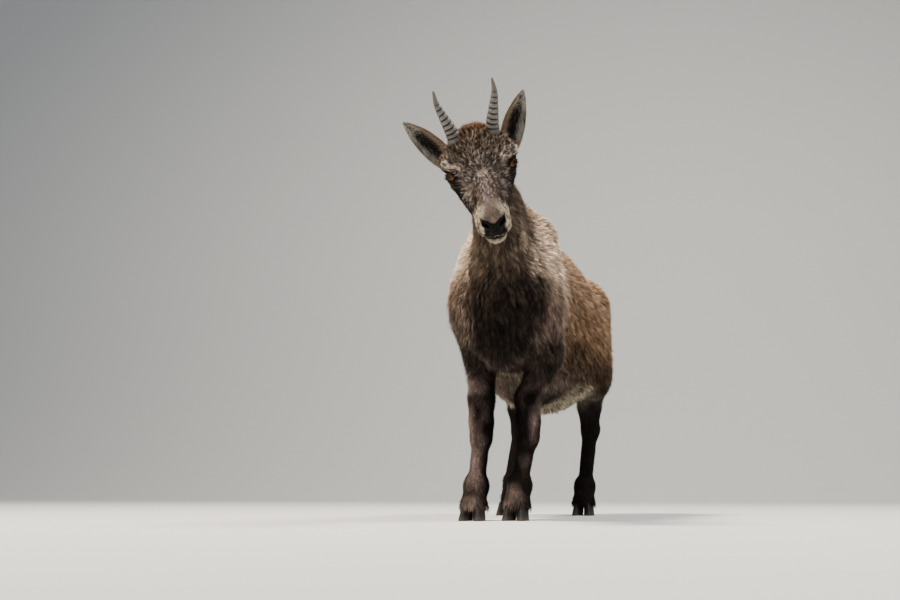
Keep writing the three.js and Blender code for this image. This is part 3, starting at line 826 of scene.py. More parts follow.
@dataclass(frozen=True)
class HornFinish:
    """Horn sheath: keratin laid down in rings, worn smooth at the tip, with painted shade in the grooves."""

    name: str = "horn_sheath"
    fibre_mm: float = 0.9
    roughness: float = 0.5

    def make(self) -> bpy.types.Material:
        """Make the material. The attribute Coat has the colour of ridge, groove and tip."""
        material, tree, shader = new_material(self.name, {"Roughness": self.roughness})
        grain = {"Scale": 1 / (self.fibre_mm * MM), "Detail": 5.0, "Roughness": 0.7}
        fibre = grained_coat(tree, shader, grain, 0.75, 1.2)
        relief = {"Strength": 0.45, "Distance": 0.0004}
        bump = add_node(tree, "ShaderNodeBump", links={"Height": fibre.outputs["Fac"]}, values=relief)
        tree.links.new(bump.outputs["Normal"], shader.inputs["Normal"])
        return material


@dataclass(frozen=True)
class EyeFinish:
    """A live goat's eye: an amber iris and level bar of a pupil, under a wet cornea."""

    name: str = "wet_eye"
    iris: str = "#4a3014"
    rim: str = "#120a05"
    pupil: str = "#060505"

    def make(self) -> bpy.types.Material:
        """Make the material. The attribute Coat has the colours; the wet coat gives the highlight."""
        wet = {"Coat Weight": 0.35, "Coat IOR": 1.38, "Coat Roughness": 0.02}
        material, tree, shader = new_material(self.name, wet | {"Roughness": 0.6, "Specular IOR Level": 0.0})
        coat = add_node(tree, "ShaderNodeAttribute", {"attribute_name": "Coat"})
        tree.links.new(coat.outputs["Color"], shader.inputs["Base Color"])
        return material


@dataclass(frozen=True)
class HoofFinish:
    """A claw's wall: dark keratin in growth rings, scuffed pale at the edge it walks on."""

    name: str = "hoof_wall"
    dark: str = "#1b1816"
    worn: str = "#5c544b"
    ring_mm: float = 3.2
    scratches_per_metre: float = 420.0

    def make(self) -> bpy.types.Material:
        """Make the material. Rings run level round the claw; scratches are a fine noise."""
        material, tree, shader = new_material(self.name, {"Roughness": 0.6, "Specular IOR Level": 0.2})
        place = add_node(tree, "ShaderNodeTexCoord")
        uneven = {"Distortion": 3.0, "Detail": 2.0, "Detail Scale": 2.0}
        rings = add_node(
            tree,
            "ShaderNodeTexWave",
            {"wave_type": "BANDS", "bands_direction": "Z"},
            links={"Vector": place.outputs["Object"]},
            values=uneven | {"Scale": 0.314 / (self.ring_mm * MM)},
        )
        scuff = add_node(
            tree,
            "ShaderNodeTexNoise",
            links={"Vector": place.outputs["Object"]},
            values={"Scale": self.scratches_per_metre, "Detail": 5.0, "Roughness": 0.7},
        )
        split = add_node(tree, "ShaderNodeSeparateXYZ", links={"Vector": place.outputs["Object"]})
        low = add_node(
            tree,
            "ShaderNodeMapRange",
            {"interpolation_type": "SMOOTHSTEP"},
            links={"Value": split.outputs["Z"]},
            values={"From Min": 0.001, "From Max": 0.012, "To Min": 0.75, "To Max": 0.1},
        )
        worn = add_node(
            tree,
            "ShaderNodeMath",
            {"operation": "MULTIPLY", "use_clamp": True},
            links={0: low.outputs["Result"], 1: scuff.outputs["Fac"]},
        )
        tint = add_node(
            tree,
            "ShaderNodeMix",
            {"data_type": "RGBA"},
            links={0: worn.outputs[0]},
            values={6: (*linear(self.dark), 1.0), 7: (*linear(self.worn), 1.0)},
        )
        relief = {"Strength": 0.35, "Distance": 0.0006}
        bump = add_node(tree, "ShaderNodeBump", links={"Height": rings.outputs["Fac"]}, values=relief)
        tree.links.new(tint.outputs[2], shader.inputs["Base Color"])
        tree.links.new(bump.outputs["Normal"], shader.inputs["Normal"])
        return material


# Markings


@dataclass(frozen=True)
class Markings:
    """The colours of the summer coat, as sRGB hex."""

    fawn: str = "#967a61"
    back_line: str = "#86694c"
    neck: str = "#4c3f34"
    nape: str = "#7f6851"
    chest: str = "#191411"
    shoulder: str = "#dcc5ae"
    arm: str = "#836f64"
    belly: str = "#8d8470"
    flank: str = "#80654c"
    flank_line: str = "#42342a"
    rump: str = "#c4b192"
    leg: str = "#161110"
    # Pale grey-brown leg hair, also laid on the forelegs as painted highlights.
    leg_pale: str = "#927d76"
    tail: str = "#241b15"
    face: str = "#7d7067"
    bridge: str = "#887a76"
    forehead: str = "#6b5b4c"
    dark_stroke: str = "#241c17"
    brow: str = "#c9bdab"
    # Painted shade for the side planes of the face below the eyes.
    painted_cheek_shade: str = "#2f2823"
    jaw: str = "#574a3e"
    muzzle: str = "#dccdb5"
    above_nose: str = "#6d6159"
    lip: str = "#100e0d"
    nose: str = "#040304"
    lid: str = "#15100e"
    tuft: str = "#6f4c33"

    def lay(self, colour: Array, *layers: tuple[str, Array]) -> Array:
        """Lay colours over one another.

        Args:
            colour: The linear colour below, one row for each root.
            layers: Each colour's name, and how much of it covers each root.

        Returns:
            The linear colour on top.
        """
        for name, amount in layers:
            colour = blend(colour, linear(getattr(self, name)), np.clip(amount, 0, 1))
        return colour

    def colour(self, place: Places) -> Array:
        """Give the coat's linear colour at each root.

        Args:
            place: The roots, with the parts that they belong to.

        Returns:
            One row of red, green and blue for each root.
        """
        p, n = place.points, place.normals
        x, y, z = p.T
        fore, hind = place.fore, place.hind
        wander = noise(p, 38, 3) * 14 + noise(p, 13, 4) * 6
        wandering = z + wander
        out, ahead = n[:, 0] * np.sign(x), -n[:, 1]
        cape = (0.55 + 0.4 * smooth(wandering, 430, 520)) * (1 - 0.6 * smooth(wandering, 555, 625))
        low_line = 400 - 30 * smooth(y, 60, 260)
        front = smooth(-y, 40, 120)
        patch = hump(y + 166, 26) * hump(z - 446, 22) * smooth(np.abs(x), 60, 84)
        # Painted shadow: the dark chest colour laid on the front of the left shoulder only, where shade falls
        # between chest and foreleg.
        shaded = front * smooth(x, 50, 80) * fade(np.abs(z - 425 + wander), 30, 65) * smooth(ahead, 0.2, 0.7)
        belly = smooth(-n[:, 2], 0.42, 0.8) * fade(z + wander * 0.5, 272, 316) * smooth(y, -165, -95)
        groin = smooth(y, 130, 200) * fade(np.abs(x), 30, 62) * fade(z, 320, 380) * smooth(-out, -0.2, 0.5)
        rear = smooth(y, 330, 372) * smooth(z, 330, 400) * fade(np.abs(x), 24, 62)
        colour = self.lay(
            np.tile(linear(self.fawn), (len(p), 1)),
            ("back_line", smooth(n[:, 2], 0.55, 0.95) * fade(np.abs(x), 6, 34) * 0.7),
            ("shoulder", smooth(-y, 30, 130) * cape),
            ("flank", fade(wandering, low_line - 10, low_line + 90) * 0.9),
            ("flank_line", fade(wandering, low_line - 75, low_line - 5) * 0.9),
            ("arm", front * fade(wandering, 385, 480)),
            ("chest", patch * 0.8),
            ("chest", shaded * 0.8),
            ("belly", belly + groin),
            ("rump", rear * 0.9),
        )
        middle = np.abs(x - 12)
        wide = mix(60.0, 44.0, smooth(z, 400, 470))
        chest = smooth(-y, 170, 232) * fade(wandering, 400, 510)
        chest = chest * fade(middle + wander * 0.6, wide - 14, wide + 20)
        breast = smooth(-y, 90, 150) * fade(wandering, 330, 400)
        high = smooth(z - 0.55 * (-y - 200) + wander, 590, 660)
        neck_colour = mix(linear(self.neck), linear(self.nape), (high * 0.85)[:, None])
        column = np.maximum(place.neck, smooth(-y, 150, 205) * smooth(wandering, 400, 450))
        column = column * fade(middle + wander * 0.5 + 14 * smooth(x, 20, 50), 55, 70)
        # Painted light on the forelegs: mottled patches of the pale leg colour on their outsides and fronts
        # are painted highlights. They are strong on the right leg as the lit side and weak on the left leg as
        # the side in shade. Part of the pale on the outsides is the hair's own grey-brown.
        left = x > 0
        outside = smooth(out, 0.1, 0.8) * smooth(z, 60, 240) * (mix(0.7, 0.2, left) + 0.9 * noise(p, 24, 5))
        facing = smooth(ahead, 0.3, 0.9) * (mix(0.35, 0.0, left) + 0.6 * noise(p, 30, 5))
        shin = np.clip(smooth(ahead, -0.4, 0.5) + smooth(out, 0, 0.7), 0, 1)
        colour = self.lay(
            blend(colour, neck_colour, column * 0.95),
            ("chest", np.maximum(chest, breast * 0.95) * 0.95),
            ("leg", fore * 1.3 - 0.15),
            ("leg_pale", fore * outside),
            ("leg_pale", fore * facing),
            ("nose", fore * smooth(-out, 0.2, 0.8) * 0.6),
            ("leg", hind * mix(0.7, 1.15, shin) - 0.05),
            ("leg_pale", hind * smooth(n[:, 1], 0.3, 0.8) * 0.7),
            ("belly", hind * smooth(-out, 0.1, 0.7) * smooth(z, 235, 290) * 0.6),
            ("tail", place.tail),
        )
        return blend(colour, self.head_colour(place), place.head)

    def eye_layers(self, side: int, local: Array) -> list[tuple[str, Array]]:
        """Give the brow, the lids and the streak of tears of one eye, as layers.

        Args:
            side: 1 on the left, -1 on the right.
            local: Places in the head's frame.

        Returns:
            Names of colours, each with how much of it covers each place.
        """
        a, b, c = eye_axes(side, local)
        off, along = (a + b) * 0.707, (b - a) * 0.707
        patch = smooth(off, 12.6, 14.6) * fade(off, 24, 30) * fade(np.abs(along - 1), 9, 14)
        ridge = smooth(b, 12, 17) * fade(b, 24, 30) * fade(np.abs(a + 4), 7, 13)
        tear = fade(np.hypot((a + 24) * 0.42, b + 7), 5, 10)
        below = smooth(-b, 9, 12) * fade(-b, 15, 24) * fade(np.abs(a), 9, 17)
        return [
            ("brow", patch * smooth(c, -20, -6) * 0.95),
            ("shoulder", ridge * smooth(c, -16, -4) * 0.4),
            ("lid", tear * smooth(c, -16, -3) * 0.8),
            ("above_nose", below * smooth(c, -10, 2) * 0.7),
            ("lid", fade(np.hypot(a * 0.72, b), 10.6, 13.2) * smooth(c, -1, 5)),
        ]

    def head_colour(self, place: Places) -> Array:
        """Give the linear colour of the head's coat at each root.

        Args:
            place: The roots, with the parts that they belong to.

        Returns:
            One row of red, green and blue for each root.
        """
        p, local = place.points, place.local
        x, y, z = local.T
        ax = np.abs(x)
        mottle = noise(p, 9, 11) * 0.6 + noise(p, 4, 12) * 0.5
        # Painted shade: the side planes of the face below the eyes, picked by their sideways-facing normals,
        # are darkened with a dark brown.
        sideways = smooth(np.abs((place.normals @ POSE.turn)[:, 0]), 0.62, 0.86) * fade(z, -14, 6)
        colour = self.lay(
            np.tile(linear(self.face), (len(p), 1)),
            ("forehead", smooth(y, -14, 16) * smooth(z, 8, 26) * 0.8),
            ("dark_stroke", smooth(mottle, 0.05, 0.7) * smooth(z, -8, 10) * 0.65),
            ("painted_cheek_shade", sideways * smooth(-y, -30, 0)),
            ("jaw", smooth(-z, 26, 56) * smooth(y, -60, 0) * 0.85),
            ("bridge", fade(ax, 7, 15 + 0.06 * (-y)) * smooth(-y, 22, 52) * 0.9),
            *self.eye_layers(1, local),
            *self.eye_layers(-1, local),
        )
        over_mouth = z - mouth_height(y)
        lower = smooth(-over_mouth, -0.5, 2.5)
        beside = fade(np.abs(ax - 14 + 3 * mottle), 2.5, 6.5) * smooth(-y, 46, 62) * fade(-y, 90, 102)
        fray = 2.5 * noise(p, 3.0, 15)
        side_patch = smooth(-y + fray, 80, 94) * smooth(-z + 0.6 * (ax - 14), 1, 9)
        side_patch = side_patch * smooth(ax + fray * 0.6 - 4.5 * smooth(-z, 8, 22), 14, 18)
        # A pale spot above each nostril is a painted highlight.
        spot = hump(ax - 14.5, 4.5) * hump(y + 110, 8) * smooth(z, -27, -18)
        upper_lip = smooth(-y, 102, 111) * smooth(-z, 24, 30) * (1 - lower)
        upper_lip = upper_lip * fade(ax + 0.25 * (z + 30), 15, 20)
        colour = self.lay(
            colour,
            ("tuft", fade(ax, 16, 27) * smooth(y, 34, 46) * smooth(z, 20, 36) * 0.9),
            ("forehead", beside * 0.75),
            ("muzzle", side_patch * (0.62 + 0.75 * noise(p, 3.6, 16))),
            ("above_nose", smooth(-y, 92, 108) * fade(ax, 12, 18) * 0.75),
            ("arm", smooth(-y, 110, 118) * fade(ax, 7, 15) * smooth(z, -30, -22) * 0.5),
            # The chin is only partly laid in the muzzle's cream: its pale hair is held back as painted shade,
            # since the chin faces down.
            ("muzzle", lower * smooth(-y, 56, 84) * (0.28 + 0.16 * smooth(-z, 66, 78))),
            # Painted highlights above the nostrils.
            ("muzzle", spot * 0.6),
            ("lip", upper_lip * 1.2 * (0.9 + 0.3 * noise(p, 2.5, 14))),
            ("muzzle", hump(over_mouth - 4.0, 1.5) * smooth(-y, 80, 92) * 0.6),
            ("nose", hump(over_mouth + 4.6, 6.6 - 4.4 * smooth(ax, 6, 21)) * smooth(-y, 72, 84)),
        )
        grain = 0.2 * noise(p, 3.4, 18) + 0.1 * noise(p, 7.5, 19)
        grain = grain + 0.4 * noise(p, 2.2, 20) * smooth(-y, 76, 94)
        colour = colour * np.clip(1 + grain, 0.3, 1.7)[:, None]
        return self.lay(colour, ("nose", nose_pad(local) * 1.2))


MARKINGS = Markings()


# Skin


def spaced(*runs: tuple[float, float, float]) -> Array:
    """Join runs of even steps, each given as its start, its end and its step."""
    return np.concatenate([np.arange(*run) for run in runs])


def window(axes: Axes, low: Array, high: Array) -> tuple[slice, ...]:
    """Give the part of a grid that lies between two corners."""
    return tuple(slice(*np.searchsorted(axis, ends)) for axis, ends in zip(axes, zip(low, high)))


@dataclass
class Skin:
    """The one skin of head, neck, trunk, legs and tail. It keeps what the coat needs to know of it."""

    fine_step: float = 1.8
    wide_step: float = 4.2
    vertices: Array = field(init=False)
    faces: Array = field(init=False)
    normals: Array = field(init=False)
    bare: Array = field(init=False)

    replaced = ("head", "neck", "torso", "tail")

    def join(
        self,
        axes: Axes,
        body: Array,
        masses: list[Rod | Ball],
        inner: float,
        outer: float,
        local: bool = False,
    ) -> None:
        """Run a group of masses into the whole, in place, only where it reaches.

        Args:
            axes: The three coordinate lines of the grid.
            body: The distances, which change.
            masses: The group.
            inner: Width of the seams inside the group.
            outer: Width of the seam between the group and the rest.
            local: Whether the masses are in the head's frame.
        """
        boxes = np.array([mass.box() for mass in masses])
        low, high = boxes[:, 0].min(0) - 24, boxes[:, 1].max(0) + 24
        if local:
            corners = np.stack(np.meshgrid(*zip(low, high), indexing="ij"), axis=-1)
            placed = POSE.place(corners.reshape(-1, 3))
            low, high = placed.min(0), placed.max(0)
        cut = window(axes, low, high)
        x, y, z = (axis[part].astype(np.float32) for axis, part in zip(axes, cut))
        x, y, z = x[:, None, None], y[None, :, None], z[None, None, :]
        if local:
            ox, oy, oz = POSE.origin.astype(np.float32)
            rows = POSE.turn.T.astype(np.float32)
            x, y, z = (r[0] * (x - ox) + r[1] * (y - oy) + r[2] * (z - oz) for r in rows)
        body[cut] = smin(body[cut], fuse(masses, x, y, z, inner), outer)

    def distances(self, axes: Axes) -> Array:
        """Work out the distance outside the coat's tips over a grid, cut to the space near the animal."""
        body = np.full([len(axis) for axis in axes], 90.0, np.float32)
        self.join(axes, body, TRUNK, 34, 1)
        self.join(axes, body, NECK, 26, 40)
        for leg in LEGS:
            self.join(axes, body, leg.masses(), 14, 16)
        self.join(axes, body, HEAD, 13, 16, local=True)
        start, tip = TAIL_ROOT - TAIL_AHEAD * 10, TAIL_ROOT + TAIL_AHEAD * (TAIL_LENGTH * 0.72)
        self.join(axes, body, [Rod(tuple(start), tuple(tip), 22, 15, 1.3)], 10, 10)
        return body

    def carve_eye(self, side: int, local: Array, value: Array) -> Array:
        """Cut one eye's socket, its lids with their creases and its corner.

        Args:
            side: 1 on the left, -1 on the right.
            local: Places in the head's frame.
            value: The distances there.

        Returns:
            The new distances.
        """
        a, b, c = eye_axes(side, local)
        ball = np.sqrt(a * a + b * b + c * c)
        head = (local[:, 1] < 66) & (local[:, 2] > -96)
        value = np.where(head, smin(value, ball - 15.3, 3.0), value)
        half_length, half_height = LID_OPENING[0] / 2, LID_OPENING[1] / 2 - 0.9
        radius = (half_length**2 + half_height**2) / (2 * half_height)
        offset = radius - half_height
        lens = np.maximum(np.hypot(a, b + offset) - radius, np.hypot(a, b - offset) - radius)
        crease = 1.5 * hump(lens - 4.6, 1.3) * smooth(b, 0, 5)
        pouch = 0.8 * hump(lens - 5.0, 1.6) * smooth(-b, 0, 5)
        value = smax(value + (crease + pouch) * smooth(c, 4, 8), -np.maximum(lens, 2 - c), 1.2)
        value = np.maximum(value, -(ball - EYE_RADIUS - 0.2))
        return value + 2.2 * hump(a + 16 - 0.3 * b, 4.5) * hump(b + 5, 2.2) * smooth(c, 0, 5)

    def carve_nostril(self, side: int, local: Array, value: Array) -> Array:
        """Cut one nostril, with the swelling over it and the slit at its outer end.

        Args:
            side: 1 on the left, -1 on the right.
            local: Places in the head's frame.
            value: The distances there.

        Returns:
            The new distances.
        """
        spin = turn((0, 1, 0), side * -30) @ turn((1, 0, 0), 10)
        across, deep, up = ((local - np.array([side * 12.5, -128, -26])) @ spin).T
        front = -local[:, 1]
        hole = np.sqrt((across / 8.0) ** 2 + (deep / 9.0) ** 2 + (up / 3.8) ** 2)
        value = np.where(front > 100, smax(value, -(hole - 1) * 3.6, 2.0), value)
        value = value - 1.2 * hump(across, 9) * hump(up - 6.0, 2.6) * smooth(front, 106, 114)
        return value + 2.2 * hump(across - side * 9, 4) * hump(up + 1.0, 1.5) * smooth(front, 108, 114)

    def carve(self, axes: Axes, body: Array) -> None:
        """Cut lids, nostrils and lips into the head, in place.

        Args:
            axes: The three coordinate lines of the grid.
            body: The distances, which change.
        """
        cut = window(axes, POSE.origin - 165, POSE.origin + 165)
        grid = np.stack(np.meshgrid(*(axis[part] for axis, part in zip(axes, cut)), indexing="ij"), axis=-1)
        near = body[cut]
        band = np.abs(near) < 30
        local = POSE.local(grid[band])
        value = near[band].astype(float)
        for side in (1, -1):
            value = self.carve_eye(side, local, value)
            value = self.carve_nostril(side, local, value)
        x, y, z = local.T
        off = z - mouth_height(y)
        lips = smooth(-y, 74, 86)
        value = value - 1.3 * hump(np.abs(off) - 4.2, 2.4) * lips
        value = value + 4.2 * hump(off, 1.7) * lips
        value = value + 1.5 * hump(x, 1.7) * smooth(-y, 112, 118) * smooth(-z, 34, 40) * (off > 0)
        value = value + 1.2 * hump(x, 2.2) * smooth(-y, 118, 124) * smooth(-z, 10, 16)
        near[band] = value - 0.9 * nose_pad(local)

    def build(self, material: bpy.types.Material) -> bpy.types.Object:
        """Make the skin, which also keeps its own corners and faces for the coat."""
        fine, wide = self.fine_step, self.wide_step
        axes = (
            spaced((-150, -84, wide), (-84, 104, fine), (104, 152, wide)),
            spaced((-502, -284, fine), (-284, 452, wide)),
            spaced((26, 496, wide), (496, 756, fine)),
        )
        body = self.distances(axes)
        near = np.argwhere(np.abs(body) < 26)
        places = np.stack([axes[n][near[:, n]] for n in range(3)], axis=1)
        body[tuple(near.T)] += coat_depth(places).astype(np.float32)
        self.carve(axes, body)
        cuff = (CORONET_HEIGHT - 1.5) - axes[2]
        vertices, self.faces = surface_net(axes, np.maximum(body, cuff.astype(np.float32)))
        local = POSE.local(vertices)
        detail = (local[:, 1] < 50) & (local[:, 2] > -96) & (np.abs(local[:, 0]) < 80)
        self.vertices = relax(vertices, self.faces, 2, np.where(detail, 0.25, 0.6))
        self.normals = corner_normals(self.vertices, self.faces)
        place = Places(self.vertices, self.normals)
        self.bare = nose_pad(place.local) * place.head
        piece = make_mesh("skin", to_frame(self.vertices), self.faces, material)
        # Painted shade: the skin under the coat is darkened, as the shade between the hairs. The bare nose
        # keeps its colour and the head is darkened less.
        under = mix(0.62, 1.0, np.maximum(self.bare, place.head * 0.75))
        paint(piece, "Coat", MARKINGS.colour(place) * under[:, None])
        measure(piece, "Bare", self.bare)
        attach(piece, "root")
        upper = {True: "forearm", False: "gaskin"}
        legs = [f"{part}_{leg.name}" for leg in LEGS for part in (upper[leg.fore], "cannon")]
        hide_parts(*self.replaced, *legs)
        return piece


def corner_normals(vertices: Array, faces: Array) -> Array:
    """Work out each corner's outward direction from the four-cornered faces round it."""
    one = vertices[faces[:, 2]] - vertices[faces[:, 0]]
    other = vertices[faces[:, 3]] - vertices[faces[:, 1]]
    out = np.cross(one, other)
    normals = np.zeros_like(vertices)
    for corner in range(4):
        for axis in range(3):
            normals[:, axis] += np.bincount(faces[:, corner], out[:, axis], len(vertices))
    return unit(normals)


# Coat


@dataclass
class Tufts:
    """Many tufts of hair: their roots, how they lie, their sizes and their colours."""

    roots: Array
    normals: Array
    lie: Array
    length: Array
    width: Array
    lift: Array
    colour: Array
    patch: Array

    def pick(self, chosen: Array) -> Tufts:
        """Take some of the tufts."""
        return Tufts(*(getattr(self, name)[chosen] for name in self.__dataclass_fields__))

    def build(self, name: str, material: bpy.types.Material, slot: str) -> bpy.types.Object:
        """Make the tufts as one mesh of thin, bent, ridged blades.

        Args:
            name: The piece's name.
            material: The hair's finish.
            slot: A material slot's name; not used.

        Returns:
            The new piece.
        """
        count = len(self.roots)
        across = unit(np.cross(self.normals, self.lie))
        length, width = self.length[:, None], self.width[:, None]
        rise, run = np.sin(self.lift)[:, None], np.cos(self.lift)[:, None]
        start = self.roots - self.normals * np.minimum(0.12 * length, 1.2)
        middle = start + self.lie * (length * 0.52 * run) + self.normals * (length * 0.52 * rise * 1.25)
        tip = start + self.lie * (length * run) + self.normals * (length * rise * 1.3)
        half = across * width * 0.5
        ridge = middle + self.normals * width * 0.26
        bend = half * 0.84
        rows = (start + half, start - half, middle + bend, middle - bend, ridge, tip)
        points = np.stack(rows, axis=1).reshape(-1, 3)
        pattern = np.array([[0, 4, 2], [0, 1, 4], [1, 3, 4], [2, 4, 5], [4, 3, 5]])
        faces = (pattern[None] + 6 * np.arange(count)[:, None, None]).reshape(-1, 3)
        piece = make_mesh(name, to_frame(points), faces, material)
        brighter = np.array([0.55, 0.55, 0.92, 0.92, 1.0, 1.2])
        paint(piece, "Coat", (self.colour[:, None, :] * brighter[None, :, None]).reshape(-1, 3))
        spread = np.array([[0, 0], [1, 0], [0, 0.6], [1, 0.6], [0.5, 0.7], [0.5, 1]]) * 0.003
        corners = (self.patch[:, None, :] + spread[None]).reshape(-1, 2)
        layer = piece.data.uv_layers.new(name="OFBake")
        layer.data.foreach_set("uv", corners[faces.ravel()].astype(np.float32).ravel())
        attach(piece, "root")
        return piece


class Sheet(Enum):
    """Where each part of the unwrapped skin lies on the square: left, bottom, width and height."""

    TRUNK = (0.01, 0.01, 0.62, 0.56)
    NECK = (0.66, 0.01, 0.32, 0.26)
    HEAD = (0.66, 0.29, 0.32, 0.36)
    LEGS = (0.01, 0.59, 0.62, 0.38)
    TAIL = (0.66, 0.67, 0.14, 0.12)
    EARS = (0.82, 0.67, 0.16, 0.3)


def round_share(across: Array, away: Array) -> Array:
    """Give how far round a middle line each place is, from 0 to 1."""
    return np.arctan2(across, away) / (2 * math.pi) + 0.5


def unwrap(place: Places) -> Array:
    """Lay the skin out flat, each part round its own middle line.

    Args:
        place: Places on the skin.

    Returns:
        One point of the square for each.
    """
    p = place.points
    x, y, z = p.T

    def put(sheet: Sheet, u: Array, v: Array) -> Array:
        """Lay shares from 0 to 1 into one part's place on the square."""
        left, low, wide, high = sheet.value
        return np.stack([left + np.clip(u, 0, 1) * wide, low + np.clip(v, 0, 1) * high], axis=1)

    up = unit(np.array([0.0, -0.7, 0.7]))
    off = p - np.array([0, -200, 540])
    along = off @ up
    off = off - along[:, None] * up
    side = np.cross(up, np.array([1.0, 0, 0]))
    flat = put(Sheet.TRUNK, (y + 300) / 700, round_share(x, 452 - z))
    neck = put(Sheet.NECK, (along + 20) / 220, round_share(off[:, 0], off @ side))
    flat = np.where((place.neck > 0.5)[:, None], neck, flat)
    for number, leg in enumerate(LEGS):
        joints = leg.joints()
        line = np.array([joints[name] for name in ("coronet", "fetlock", "joint", "elbow")])
        cx, cy = (np.interp(z, line[:, 2], line[:, n]) for n in (0, 1))
        mine = (place.limbs > 0.5) & (np.sign(x) == leg.side) & ((place.fore > 0.5) == leg.fore)
        part = put(Sheet.LEGS, (z - 30) / 300, (number + 0.04 + 0.92 * round_share(y - cy, x - cx)) / 4)
        flat = np.where(mine[:, None], part, flat)
    hx, hy, hz = place.local.T
    head = put(Sheet.HEAD, (hy + 135) / 250, round_share(hx, -(hz + 20)))
    flat = np.where((place.head > 0.5)[:, None], head, flat)
    tail = put(Sheet.TAIL, (540 - z) / 120, round_share(x, y - 380))
    return np.where((place.tail > 0.5)[:, None], tail, flat)


def sample(
    vertices: Array, faces: Array, normals: Array, gap: Array, random: np.random.Generator
) -> tuple[Array, Array]:
    """Scatter roots over a surface.

    Args:
        vertices: The surface's corners.
        faces: Its four-cornered faces.
        normals: Outward directions at the corners.
        gap: Distance between roots at each corner, in millimetres. 0 is bare.
        random: Where the draws come from.

    Returns:
        The roots and the outward directions there.
    """
    halves = np.concatenate([faces[:, [0, 1, 2]], faces[:, [0, 2, 3]]])
    a, b, c = (vertices[halves[:, n]] for n in range(3))
    area = np.linalg.norm(np.cross(b - a, c - a), axis=1) / 2
    spacing = gap[halves].mean(axis=1)
    bare = gap[halves].min(axis=1) <= 0
    expected = np.where(bare, 0, area / np.maximum(spacing, 0.1) ** 2)
    number = np.floor(expected + random.random(len(expected))).astype(int)
    corners = halves[np.repeat(np.arange(len(halves)), number)]
    u, v = random.random((2, len(corners)))
    over = u + v > 1
    u, v = np.where(over, 1 - u, u)[:, None], np.where(over, 1 - v, v)[:, None]
    share = ((corners[:, 0], 1 - u - v), (corners[:, 1], u), (corners[:, 2], v))
    return sum(vertices[n] * w for n, w in share), unit(sum(normals[n] * w for n, w in share))


